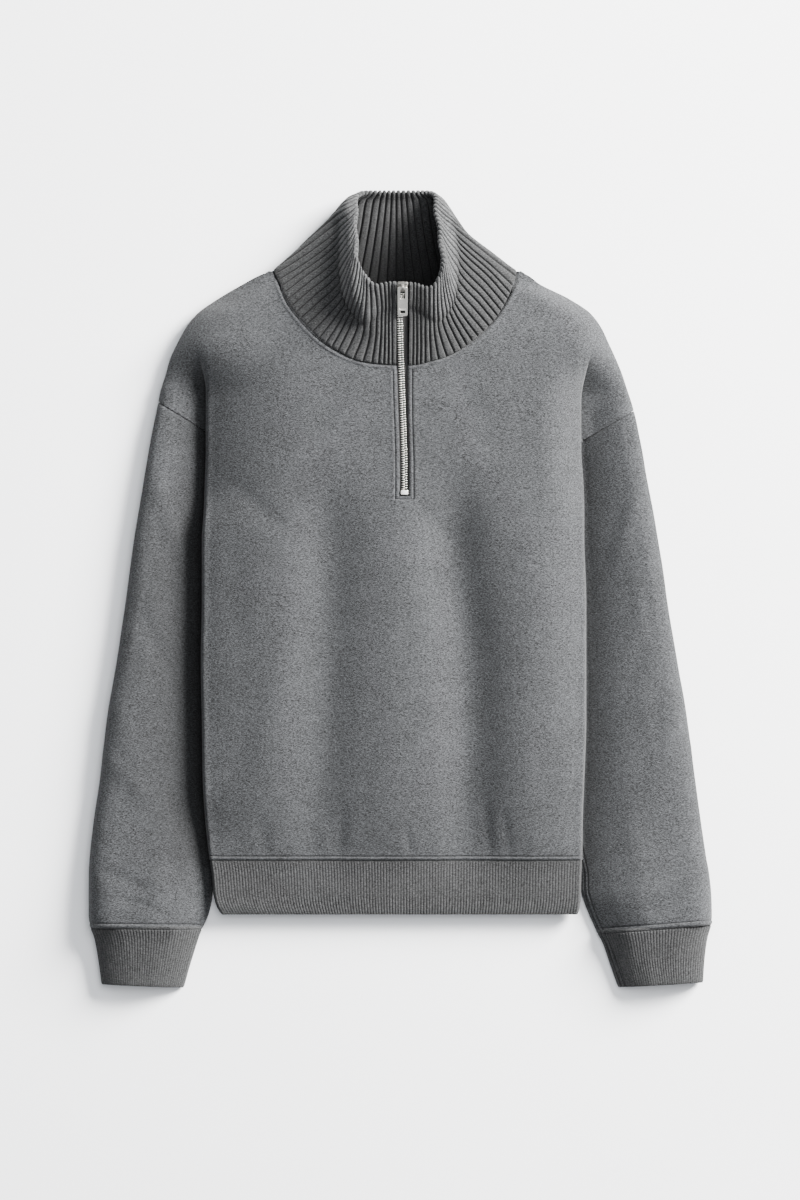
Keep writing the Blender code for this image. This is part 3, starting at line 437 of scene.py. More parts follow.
def soften(piece, width, segments, angle):
    """Bevels the edges that are sharper than the angle, in degrees."""
    bevel = piece.modifiers.new("Edges", "BEVEL")
    bevel.width = width * MM
    bevel.segments = segments
    bevel.limit_method = "ANGLE"
    bevel.angle_limit = math.radians(angle)


def thicken(piece, thickness, rounding=0.5):
    """Gives a sheet its thickness, half to each side, with softened rims."""
    clean(piece.data, merge=2e-6)
    solid = piece.modifiers.new("Thickness", "SOLIDIFY")
    solid.thickness = thickness * MM
    solid.offset = 0.0
    solid.use_even_offset = False
    soften(piece, rounding, 2, 60.0)
    apply_modifiers(piece)
    piece.data.shade_smooth()


def finish_piece(piece, node, body=BODY):
    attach(piece, body)
    if node:
        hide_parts(node)


# ---------------------------------------------------------------- node groups and materials
def new_group(name, kind, inputs, outputs):
    """Empty node group with named sockets: (name, socket type, default or None)."""
    tree = bpy.data.node_groups.new(name, kind)
    for label, socket_type, default in inputs:
        made = tree.interface.new_socket(name=label, in_out="INPUT", socket_type=socket_type)
        if default is not None:
            made.default_value = default
    for label, socket_type in outputs:
        tree.interface.new_socket(name=label, in_out="OUTPUT", socket_type=socket_type)
    return tree, tree.nodes.new("NodeGroupInput"), tree.nodes.new("NodeGroupOutput")


def set_values(node, values):
    """Sets plain values of a node's inputs by their names."""
    for label, value in values.items():
        node.inputs[label].default_value = value


def add_math(tree, operation, first, second=None):
    made = tree.nodes.new("ShaderNodeMath")
    made.operation = operation
    for k, value in enumerate((first, second)):
        if isinstance(value, (int, float)):
            made.inputs[k].default_value = value
        elif value is not None:
            tree.links.new(value, made.inputs[k])
    return made.outputs[0]


def add_sum(tree, *parts):
    """Sum of values, each times its weight."""
    total = None
    for value, weight in parts:
        term = add_math(tree, "MULTIPLY", value, weight)
        total = term if total is None else add_math(tree, "ADD", total, term)
    return total


def add_noise(tree, place, stretch, detail, roughness=0.55):
    """Noise with its own density along each axis, in waves per metre."""
    mapping = tree.nodes.new("ShaderNodeMapping")
    mapping.inputs["Scale"].default_value = stretch
    noise = tree.nodes.new("ShaderNodeTexNoise")
    set_values(noise, {"Scale": 1.0, "Detail": detail, "Roughness": roughness})
    tree.links.new(place, mapping.inputs["Vector"])
    tree.links.new(mapping.outputs[0], noise.inputs["Vector"])
    return noise.outputs["Fac"]


def add_range(tree, value, low, high, to_low, to_high):
    made = tree.nodes.new("ShaderNodeMapRange")
    set_values(made, {"From Min": low, "From Max": high, "To Min": to_low, "To Max": to_high})
    tree.links.new(value, made.inputs["Value"])
    return made.outputs[0]


def add_group(tree, group, place, values):
    made = tree.nodes.new("ShaderNodeGroup")
    made.node_tree = group
    tree.links.new(place, made.inputs["Place"])
    set_values(made, values)
    return made.outputs


def add_bump(tree, shader, height, values):
    made = tree.nodes.new("ShaderNodeBump")
    set_values(made, values)
    tree.links.new(height, made.inputs["Height"])
    tree.links.new(made.outputs["Normal"], shader.inputs["Normal"])


def scale_colour(tree, colour, factor):
    made = tree.nodes.new("ShaderNodeVectorMath")
    made.operation = "SCALE"
    tree.links.new(colour, made.inputs[0])
    tree.links.new(factor, made.inputs["Scale"])
    return made.outputs[0]


def tint(tree, shader, colour, factor):
    """Feeds the shader a colour times a factor that changes over the surface."""
    base = tree.nodes.new("ShaderNodeRGB")
    base.outputs[0].default_value = (*colour, 1.0)
    tree.links.new(scale_colour(tree, base.outputs[0], factor), shader.inputs["Base Color"])


def melange_group():
    """Two yarn colours spun together: streaks across, loose light fibres and a short nap."""
    if "Melange yarn" in bpy.data.node_groups:
        return bpy.data.node_groups["Melange yarn"]
    tree, source, result = new_group(
        "Melange yarn", "ShaderNodeTree",
        [("Place", "NodeSocketVector", None), ("Colour", "NodeSocketColor", None),
         ("Contrast", "NodeSocketFloat", 0.3), ("Fibres", "NodeSocketFloat", 0.5)],
        [("Colour", "NodeSocketColor"), ("Nap", "NodeSocketFloat")])
    place = source.outputs["Place"]
    streak = add_noise(tree, place, (420.0, 980.0, 660.0), 3.0)
    grain = add_noise(tree, place, (1080.0, 1400.0, 1200.0), 2.0, 0.75)
    patch = add_noise(tree, place, (26.0, 34.0, 26.0), 2.0)
    swing = add_range(tree, add_sum(tree, (streak, 0.46), (grain, 0.48), (patch, 0.06)),
                      0.36, 0.64, -1.0, 1.0)
    fibre = add_noise(tree, place, (300.0, 1700.0, 700.0), 2.0, 0.6)
    fibre = add_range(tree, fibre, 0.60, 0.68, 0.0, 1.0)
    factor = add_sum(tree, (swing, source.outputs["Contrast"]), (fibre, source.outputs["Fibres"]))
    factor = add_math(tree, "ADD", factor, 1.0)
    colour = scale_colour(tree, source.outputs["Colour"], factor)
    tree.links.new(colour, result.inputs["Colour"])
    tree.links.new(add_sum(tree, (grain, 0.7), (streak, 0.3)), result.inputs["Nap"])
    return tree


def weave_group():
    """Rows of fine knit courses crossing the ribs or a woven tape."""
    if "Fine courses" in bpy.data.node_groups:
        return bpy.data.node_groups["Fine courses"]
    tree, source, result = new_group(
        "Fine courses", "ShaderNodeTree",
        [("Place", "NodeSocketVector", None), ("Across", "NodeSocketFloat", 900.0),
         ("Along", "NodeSocketFloat", 600.0)],
        [("Mask", "NodeSocketFloat")])
    parts = tree.nodes.new("ShaderNodeSeparateXYZ")
    tree.links.new(source.outputs["Place"], parts.inputs[0])
    waves = []
    for axis, label in ((0, "Across"), (1, "Along")):
        turn = add_math(tree, "MULTIPLY", parts.outputs[axis], source.outputs[label])
        waves.append(add_math(tree, "SINE", add_math(tree, "MULTIPLY", turn, 2.0 * math.pi)))
    mixed = add_math(tree, "MULTIPLY", *waves)
    tree.links.new(add_range(tree, mixed, -1.0, 1.0, 0.0, 1.0), result.inputs["Mask"])
    return tree


def start_material(name):
    made = bpy.data.materials.new(name)
    made.use_nodes = True
    tree = made.node_tree
    return made, tree, tree.nodes["Principled BSDF"], tree.nodes.new("ShaderNodeTexCoord")


def cloth_material(name, colour, contrast, fibres, nap, courses=0.0, sheen=0.2):
    """Melange cloth, its colour darkened by the painted shade and lightened by the painted light
    that the groove attribute holds; courses adds the fine rows of a knit.
    """
    if name in bpy.data.materials:
        return bpy.data.materials[name]
    made, tree, shader, place = start_material(name)
    yarn = add_group(tree, melange_group(), place.outputs["Object"],
                     {"Colour": (*colour, 1.0), "Contrast": contrast, "Fibres": fibres})
    # painted shade and painted light: the groove attribute darkens or lightens the yarn colour
    groove = tree.nodes.new("ShaderNodeAttribute")
    groove.attribute_name = "groove"
    shade = add_range(tree, groove.outputs["Fac"], -1.0, 1.0, 1.80, 0.20)
    tree.links.new(scale_colour(tree, yarn["Colour"], shade), shader.inputs["Base Color"])
    height = yarn["Nap"]
    if courses:
        rows = add_group(tree, weave_group(), place.outputs["UV"],
                         {"Across": 330.0, "Along": 520.0})
        height = add_math(tree, "ADD", height, add_math(tree, "MULTIPLY", rows["Mask"], courses))
    add_bump(tree, shader, height, {"Strength": 0.75, "Distance": nap})
    set_values(shader, {"Roughness": 0.95, "Specular IOR Level": 0.2, "Sheen Weight": sheen,
                        "Sheen Roughness": 0.55})
    return made


def tape_material(colour):
    if "Zip tape" in bpy.data.materials:
        return bpy.data.materials["Zip tape"]
    made, tree, shader, place = start_material("Zip tape")
    rows = add_group(tree, weave_group(), place.outputs["Object"],
                     {"Across": 1100.0, "Along": 800.0})
    tint(tree, shader, colour, add_range(tree, rows["Mask"], 0.0, 1.0, 0.6, 1.6))
    add_bump(tree, shader, rows["Mask"], {"Distance": 0.0002})
    set_values(shader, {"Roughness": 0.85})
    return made


def metal_material(name, colour, roughness, grain):
    """Cast zip metal with fine scratches and slightly uneven gloss."""
    if name in bpy.data.materials:
        return bpy.data.materials[name]
    made, tree, shader, place = start_material(name)
    wear = add_noise(tree, place.outputs["Object"], (700.0, 2600.0, 1200.0), 3.0)
    tree.links.new(add_range(tree, wear, 0.3, 0.7, roughness - grain, roughness + grain),
                   shader.inputs["Roughness"])
    tint(tree, shader, colour, add_range(tree, wear, 0.3, 0.7, 0.85, 1.1))
    add_bump(tree, shader, wear, {"Distance": 0.00004})
    set_values(shader, {"Metallic": 1.0})
    return made


def fleece_finish(settings):
    return cloth_material("Melange fleece", settings.fleece_colour, 1.45, 1.2, 0.0008, 0.0, 0.10)


def rib_finish(settings):
    return cloth_material("Melange rib", settings.rib_colour, 1.1, 0.8, 0.0004, 0.5, 0.06)


def thread_finish(settings):
    return cloth_material("Sewing thread", settings.thread_colour, 0.12, 0.0, 0.0001, 0.0, 0.0)


def metal_finish(settings):
    return metal_material("Zip metal", settings.metal_colour, 0.34, 0.08)


# ---------------------------------------------------------------- seam lines
def smooth_line(points, step):
    """Even points along a smooth curve through the given ones."""
    points = np.array(points, dtype=float)
    marks = running(gaps(points))
    fine = bend_through(marks, points, np.linspace(0.0, marks[-1], 400))
    along = running(gaps(fine))
    wanted = np.linspace(0.0, along[-1], max(2, int(along[-1] / step) + 1))
    return np.stack([np.interp(wanted, along, fine[:, k]) for k in range(points.shape[1])], axis=1)


def away_from(grid, line):
    """Distance in plan from each point of a grid to a line."""
    best = np.full(grid.shape[:-1], np.inf)
    for a, b in zip(line[:-1], line[1:]):
        way = b - a
        from_a = grid[..., :2] - a
        t = np.clip(from_a @ way / max(1e-9, way @ way), 0.0, 1.0)
        best = np.minimum(best, np.linalg.norm(from_a - t[..., None] * way, axis=-1))
    return best


def offset_line(line, distance):
    """The line moved sideways in plan, to its right for a positive distance."""
    way = np.gradient(line, axis=0)
    way = way / np.maximum(np.linalg.norm(way, axis=1, keepdims=True), 1e-9)
    return line + np.stack([way[:, 1], -way[:, 0]], axis=1) * distance


def slit_path(away, top, low, count):
    """Line down the left edge of the zip opening and up its right edge, away from both."""
    down = np.linspace(top, low, count)
    return np.array([(SLIT_EDGE[-1](y) - away, y) for y in down]
                    + [(SLIT_EDGE[1](y) + away, y) for y in down[::-1]], dtype=float)


FRONT_END = -289.4     # the fleece reaches over the hem seam
STITCH_HEM = 3.9       # topstitching above the hem seam
STITCH_NECK = 5.2      # outside the neck seam
STITCH_ZIP = 4.3       # beside the zip opening
NECK_LINE = {side: smooth_line(NECK[side], 1.5) for side in (-1, 1)}
SLIT_LINE = slit_path(0.0, 238.0, SLIT_END, 30)
STITCH_SLIT = slit_path(STITCH_ZIP, 233.0, 95.4, 60)
STITCH_LINE_NECK = {side: offset_line(NECK_LINE[side], STITCH_NECK * -side)[3:-3]
                    for side in (-1, 1)}


def seam_relief(grid):
    """Sunk seams and stitch lines of the front, with the swell between them (mm), and the painted
    shade in their ditches.
    """
    neck, stitched = (np.minimum(away_from(grid, line[-1]), away_from(grid, line[1]))
                      for line in (NECK_LINE, STITCH_LINE_NECK))
    slit, box = away_from(grid, SLIT_LINE), away_from(grid, STITCH_SLIT)
    hem = grid[..., 1] - FRONT_END
    relief = bells((neck, 0.0, 1.4, -1.6), (neck, 2.8, 1.3, 0.9), (stitched, 0.0, 0.9, -1.5),
                   (stitched, 2.6, 1.4, 0.4), (slit, 0.0, 1.1, -1.0), (box, 0.0, 0.8, -1.1),
                   (box, 2.4, 1.2, 0.3), (hem, 0.0, 0.9, -1.3), (hem, 2.0, 1.0, 0.6),
                   (hem, STITCH_HEM, 0.8, -1.1))
    # painted shade in the ditches of the seams and stitch lines
    sunk = bells((neck, 0.0, 1.0, 0.9), (stitched, 0.0, 0.9, 0.95), (slit, 0.0, 0.7, 0.8),
                 (box, 0.0, 0.7, 0.75), (hem, 0.0, 0.7, 0.9), (hem, STITCH_HEM, 0.8, 0.85))
    return relief, sunk


# ---------------------------------------------------------------- front
# the folded body edge from below: place inside the edge, height, and height where the wall rises
WALL = [(2.4, 1.0, 0.0), (1.2, 3.9, 0.0), (1.5, 7.9, 5.6), (3.2, 11.0, 8.4),
        (8.0, None, 0.0), (16.0, None, 0.0)]
FREE = [-2.0, 1.0, 4.0, 7.5, 12.0, 18.0]     # the same places on the round shoulder
NEAR_COUNT = 12        # fine columns beside the zip and the neck seam
INNER_COUNT = 40
ROW_STEP = 4.2         # between the front's rows
FINE_STEP = 0.8        # between its rows at the hem seam and at the end of the slit
FINE_FROM = 88.0       # y where the fine rows below the end of the slit begin
NECK_FROM = 227.0      # y where the fine rows below the neck seam begin
BRIDGE = 9             # columns between the two halves, under the zip


def strip_places(side, y):
    """X of the folded-under strip's columns, from its side seam to the fold."""
    end = float(SEAM_UNDER[side](y)) if y < ARMHOLE[side][2][1] \
        else float(seam_x(side, y)) - side * 1.0
    start = float(EDGE[side](y)) - side * STRIP_IN
    if side * (start - end) < 2.4:
        start = end + side * 2.4
    width = side * (start - end)
    past = side * (start - float(TUCK[side](y))) + 4.0
    past = min(max(past, STRIP_END), width - STRIP_END)
    marks = [width, past + min(15.0, (width - past) * 0.6), past, 0.0]
    return [start - side * mark for mark in marks]


def outer_end(side, y):
    """X where a row above the fold begins, at the armhole seam or at the shoulder's rim."""
    if y < ARMHOLE[side][0][1]:
        return float(seam_x(side, y))
    return float(OUTER[side](y)) - side * RIM


def front_controls(side, y, last):
    """The first ten points of one row: hidden strip or shoulder, then the folded edge."""
    top, cross = ARMHOLE[side][:2]
    e, w = float(EDGE[side](y)), float(folded(y))
    foot = float(fold_foot(side, y))
    row = []
    if y < cross[1] - SAME:
        row = [(x, y, FLOOR + float(lift(side, x, y))) for x in strip_places(side, y)]
    elif y > cross[1] + SAME:
        first = outer_end(side, y)
        span = -side * (e + side * 3.0 - first)
        blend = float(ease(top[1], top[1] + 24.0, y))
        near = (0.0, min(2.2, span * 0.2), min(9.0, span * 0.5), span)
        for t, place in zip((0.0, 0.3, 0.65, 1.0), near):
            x = first - side * (span * t + (place - span * t) * blend)
            row.append((x, y, float(seam_height(side, x, y))))
        if y >= top[1]:
            row[0] = (row[0][0], y, float(rim_height(y)))
    span = abs(last - float(OUTER[side](y)))
    for k, (inset, up, more) in enumerate(WALL):
        x = e - side * ((1.0 - w) * min(FREE[k], span * (0.30 + 0.08 * k)) + w * inset)
        fold = float(front_height(side, x, y)) if up is None \
            else foot + up + more * float(wall_rise(y))
        row.append((x, y, (1.0 - w) * float(shoulder_height(side, x, y)) + w * fold))
    return [row[0]] * 4 + row if len(row) == len(WALL) else row


def even_steps(marks, step):
    """Places between the given marks, about a step apart."""
    found = [marks[0]]
    for a, b in zip(marks[:-1], marks[1:]):
        count = max(1, int(round(abs(b - a) / step)))
        found += [a + (b - a) * (k + 1) / count for k in range(count)]
    return found


def front_half(side):
    """Rows of one half of the front, from its hidden end to the zip or the neck seam."""
    cross_y, top_y = ARMHOLE[side][1][1], ARMHOLE[side][0][1]
    ys = even_steps([FRONT_END, FRONT_END + 7.0], FINE_STEP)
    ys += even_steps([ys[-1], FINE_FROM], ROW_STEP)[1:]
    ys += even_steps([FINE_FROM, SLIT_END], FINE_STEP)[1:]
    for low, high, count in ((SLIT_END, cross_y, 20), (cross_y, top_y, 10),
                             (top_y, NECK_FROM, 10), (NECK_FROM, NECK_Y, 13)):
        ys += [low + (high - low) * k / count for k in range(1, count + 1)]
    ys = [(y, y, None) for y in ys]
    neck = NECK_LINE[side]
    for mark in np.linspace(0.0, (len(neck) - 1.0) * 0.992, 96)[1:]:
        x, y = (float(np.interp(mark, range(len(neck)), neck[:, k])) for k in (0, 1))
        ys.append((NECK_Y + (SHOULDER_Y - NECK_Y) * mark / (len(neck) - 1.0), y, x))
    controls, inner = [], []
    for y_row, y_last, x_last in ys:
        last = float(SLIT_EDGE[side](y_row)) if x_last is None else x_last
        row = front_controls(side, y_row, last)
        controls.append(row)
        start = row[-1][0]
        width = abs(last - start)
        near = [k * 0.75 * min(1.0, width / 60.0) for k in range(NEAR_COUNT)]
        rest = [near[-1] + (width - near[-1]) * k / INNER_COUNT for k in range(1, INNER_COUNT)]
        back = np.array(near + rest)[::-1]
        x = last + np.sign(start - last) * back
        y = y_row + (y_last - y_row) * ease(0.0, 1.0, 1.0 - back / max(width, 1e-6))
        inner.append(np.stack([x, y, body_height(side, x, y)], axis=1))
    outer_part = refine(controls, np.linspace(0.0, 9.0, 28))
    for row in outer_part:
        if row[0, 1] > cross_y + SAME:
            row[:10, 2] = seam_height(side, row[:10, 0], row[:10, 1])
    return np.concatenate([outer_part, np.array(inner)], axis=1)


def build_front(settings):
    left, right = front_half(-1), front_half(1)[:, ::-1]
    share = np.linspace(0.0, 1.0, BRIDGE + 2)[1:-1, None]
    between = left[:, -1:, :] * (1.0 - share) + right[:, :1, :] * share
    middle = BRIDGE // 2 + 1
    for side, part in ((-1, slice(0, middle)), (1, slice(middle, BRIDGE))):
        between[:, part, 2] = body_height(side, between[:, part, 0], between[:, part, 1])
    grid = np.concatenate([left, between, right], axis=1)
    first_open = int(np.argmin(np.abs(left[:, -1, 1] - SLIT_END)))
    missing = np.zeros(grid.shape[:2], bool)
    missing[first_open:, left.shape[1] - 1:left.shape[1] + BRIDGE] = True
    relief, sunk = seam_relief(grid)
    outward = normals(grid, False)
    grid = grid + outward * (relief * ease(-0.1, 0.2, outward[..., 2]))[..., None]
    # painted shade on the cloth of the armhole beside the body edge, where the raised body edge
    # shades it
    for side, deep, far in ((-1, 0.85, 34.0), (1, 0.45, 20.0)):
        y = np.minimum(grid[..., 1], 339.0)
        hidden = side * (grid[..., 0] - EDGE[side](y))
        near = fade(hidden, far) * (hidden > 0.0)
        sunk = sunk + deep * near * ease(262.0, 214.0, y) * ease(120.0, 150.0, y)
    piece = grid_mesh("Front", grid, fleece_finish(settings), missing=missing, sunk=sunk)
    clean(piece.data, loose=True)
    thicken(piece, settings.cloth_thickness / MM, 0.55)
    finish_piece(piece, "front_panel")


# ---------------------------------------------------------------- back
NECK_BACK = [(-134.6, 339.7), (-117.5, 333.8), (-96.1, 328.0), (-69.3, 323.1), (-37.2, 319.9),
             (-4.1, 318.9), (29.0, 319.9), (60.0, 323.1), (86.0, 328.0), (107.0, 333.8),
             (124.4, 339.7)]


def flap(side, x, y):
    """1 over the folded-under strip, falling to 0 past the side seam and the armhole."""
    beyond = -side * (x - SEAM_UNDER[side](y)) - 2.0
    above = (y - seam_line(side, x)) * 0.78 - 14.0
    return 1.0 - ease(0.0, 28.0, np.maximum(beyond, above))


def back_height(side, x, y):
    outside = side * (x - float(EDGE[side](y)))
    near = float(ease(-7.0, -18.0, outside)) if y >= ARMHOLE[side][1][1] else 1.0
    return FLOOR + (float(lift(side, x, y)) + 2.0 * LAYER * float(flap(side, x, y))) * near


def back_row(side, y, y_mid, last):
    """One row of the back from its hidden end (or the outer edge) to the middle."""
    cross = ARMHOLE[side][1]
    e = float(EDGE[side](y))
    if y < cross[1] - SAME:
        strip = strip_places(side, y)
        row = [(x, y, FLOOR + float(lift(side, x, y)) + LAYER) for x in strip]
        foot = row[-1][2]
        turn = min(3.2, side * (e - strip[-1]) - 4.2)
        row += [(strip[-1] + side * turn * s, y, foot + up)
                for s, up in ((0.7, 0.45), (1.0, LAYER / 2.0), (0.7, LAYER - 0.45))]
        main = [side * (strip[-1] - x) for x in strip[::-1]]
        begin = strip[-1]
        main += [main[-1] + step for step in (9.0, 18.0, 30.0)]
    else:
        at_seam = y < ARMHOLE[side][0][1]
        first = outer_end(side, y)
        stop = min(first * side - 8.0, e * side - 14.0)
        span = side * first - stop
        top = 10.2 + 3.6 * float(ease(300.0, SHOULDER_Y, y))
        low = [(0.0, top), (min(1.6, span * 0.1), 5.4), (min(7.0, span * 0.3), 1.9)]
        share = (0.0, 0.25, 0.5, 0.7, 0.82, 0.92, 1.0)
        row = []
        for k in range(7):
            if at_seam or k > 2:
                x = first - side * span * share[k]
                row.append((x, y, back_height(side, x, y)))
            else:
                row.append((first - side * low[k][0], y, max(FLOOR, low[k][1])))
        begin = side * stop
        main = [3.0, 6.0, 9.0, 13.0, 20.0, 28.0, 38.0]
    room = side * (begin - last)
    main = [m * min(1.0, room * 0.8 / main[-1]) for m in main] + [room]
    for place in main:
        x = begin - side * place
        yy = y + (y_mid - y) * place / max(1.0, room)
        row.append((x, yy, back_height(side, x, yy)))
    return row


def build_back(settings):
    rows = []
    below = even_steps([FRONT_END, 63.1, 150.0], 9.0)
    pairs = [(y, y) for y in below]
    marks = [(150.0, 150.0), (167.6, 157.6), (169.2, 159.2), (188.0, 178.0), (200.1, 190.5),
             (238.0, 238.0), (318.0, 318.0)]
    for (a, b), (c, d) in zip(marks[:-1], marks[1:]):
        count = max(1, int((c - a) / 6.0))
        pairs += [(a + (c - a) * (k + 1) / count, b + (d - b) * (k + 1) / count)
                  for k in range(count)]
    for a, b in pairs:
        mid = (a + b) / 2.0
        rows.append(back_row(-1, a, mid, BACK_MIDDLE) + back_row(1, b, mid, BACK_MIDDLE)[::-1])
    neck_from = len(rows) - 1
    arcs = [smooth_line(NECK_BACK[:6][::-1], 6.0), smooth_line(NECK_BACK[5:], 6.0)]
    for (lx, ly), (rx, ry) in list(zip(*arcs))[1:-1]:
        rows.append(back_row(-1, ly, ly, lx) + back_row(1, ry, ry, rx)[::-1])
    half = len(rows[0]) // 2
    left, right = (refine([row[part] for row in rows], np.linspace(0.0, half - 1.0, 5 * half - 4))
                   for part in (slice(0, half), slice(half, None)))
    grid = np.concatenate([left, right], axis=1)
    missing = np.zeros(grid.shape[:2], bool)
    missing[neck_from:, left.shape[1] - 1] = True
    grid[..., 2] = np.maximum(grid[..., 2], FLOOR)
    piece = grid_mesh("Back", grid[:, ::-1], fleece_finish(settings), missing=missing[:, ::-1])
    clean(piece.data, merge=2e-5, loose=True)
    thicken(piece, settings.cloth_thickness / MM)
    finish_piece(piece, "back_panel")


# ---------------------------------------------------------------- sleeves and cuffs
RINGS = [(0.0, 0.0, 1.0), (0.038, 0.062, 0.75), (0.09, 0.144, 0.4), (0.16, 0.24, 0.1),
         (0.26, 0.35, 0.0), (0.377, 0.476, 0.0), (0.50, 0.58, 0.0), (0.62, 0.68, 0.0),
         (0.74, 0.777, 0.0), (0.845, 0.863, 0.0), (0.93, 0.931, 0.0), (1.0, 1.0, 0.0)]
SLEEVE_END = {-1: (-361.2, -362.6), 1: (-357.8, -367.2)}
# cuff: outer edge x, y, inner edge x, y, height of the middle surface at the crest
CUFF = {-1: [(-331.2, -361.9, -211.2, -363.3, 29.0), (-327.0, -372.9, -215.0, -374.0, 26.5),
             (-322.5, -397.0, -222.8, -398.0, 23.5), (-319.2, -422.1, -230.7, -425.9, 21.0)],
        1: [(333.5, -358.5, 210.6, -367.9, 29.0), (329.0, -374.1, 217.0, -379.9, 26.5),
            (325.8, -399.0, 223.8, -399.0, 23.5), (324.5, -420.1, 233.0, -425.5, 21.0)]}
# small folds of the sleeves: x0, y0, x1, y1, half width, height
SLEEVE_CREASES = {
    -1: [(-262.0, 120.0, -236.0, 40.0, 9.0, 1.6), (-280.0, -20.0, -246.0, -90.0, 10.0, -1.5),
         (-312.0, -180.0, -262.0, -230.0, 9.0, 1.4), (-318.0, -300.0, -268.0, -322.0, 8.0, -1.6),
         (-300.0, -330.0, -252.0, -344.0, 6.0, -1.2), (-300.0, -120.0, -280.0, -200.0, 12.0, 1.2)],
    1: [(256.0, 110.0, 232.0, 30.0, 9.0, 1.6), (276.0, -30.0, 244.0, -100.0, 10.0, -1.5),
        (306.0, -170.0, 256.0, -215.0, 9.0, 1.4), (318.0, -290.0, 262.0, -318.0, 8.0, -1.6),
        (300.0, -326.0, 256.0, -346.0, 6.0, -1.2), (296.0, -110.0, 276.0, -200.0, 12.0, 1.2)]}


CREST_AT = 36.0        # from the outer end of a ring to its crest
CUFF_ROUND = 38.0      # width over which the cuff rises from its outer end
CUFF_FALL = 46.0       # width over which it falls to its inner end


def ring(side, a, b, bend, crest=None):
    """Closed loop of middle points between the outer end a and the inner end b."""
    length = abs(b[0] - a[0])
    peak = 0.365

    def at(distance):
        t = distance / length
        arch = t / peak if t < peak else (1.0 - t) / (1.0 - peak)
        return a[0] - side * distance, a[1] + (b[1] - a[1]) * t + bend * arch

    crossing = length * 0.93
    if crest is None:
        for step in range(10, int(length)):
            x, y = at(step)
            if y > -306.0 and side * (x - float(EDGE[side](y))) <= 0.0:
                crossing = min(crossing, float(step))
                break
    top_at = min(CREST_AT, crossing * 0.6)
    spots = [1.3, 3.0, 0.21 * top_at, 0.40 * top_at, 0.68 * top_at, top_at]
    spots += [top_at + (crossing - top_at) * t for t in (0.35, 0.65, 0.87, 0.985)]
    spots += [crossing + (length - 3.6 - crossing) * t for t in (0.4, 1.0)]
    loop = []
    for spot in spots:
        x, y = at(spot)
        if crest is None:
            z = float(sleeve_height(side, x, y))
        else:
            rise = math.sqrt(1.0 - fade(spot - RIM, CUFF_ROUND) ** 2)
            fall = 1.0 - fade(length - spot, CUFF_FALL) ** 2.3
            z = SLEEVE_LOW + (3.4 + (crest - 8.0) * rise) * fall
        loop.append((x, y, z))
    x, y = at(length - 1.25)
    loop.append((x, y, FLOOR + 1.7))
    for spot, z in ((length - 3.6, 0.0), (length * 0.6, 0.0), (10.0, 0.15), (4.0, 1.3),
                    (1.7, 3.6)):
        x, y = at(spot)
        loop.append((x, y, FLOOR + z))
    return loop


def close_smoothly(loops, factor):
    """Closed loops with more points, smooth across their start."""
    loops = np.asarray(loops, dtype=float)
    count = loops.shape[1]
    padded = np.concatenate([loops[:, -3:], loops, loops[:, :3]], axis=1)
    return refine(padded, np.linspace(3.0, 3.0 + count, count * factor + 1)[:-1])


def underarm_seam(away, first, second, deep, shallow, light):
    """Height of the seam along the underarm, with a stitch line beside it, and its painted shade,
    with painted light between the two lines.
    """
    height = bells((away, first, 0.9, deep), (away, second, 0.8, shallow))
    dark = bells((away, first, 0.9, 1.0), (away, second, 0.9, 1.0),
                 (away, (first + second) / 2.0, 1.0, -light))
    return -height, dark


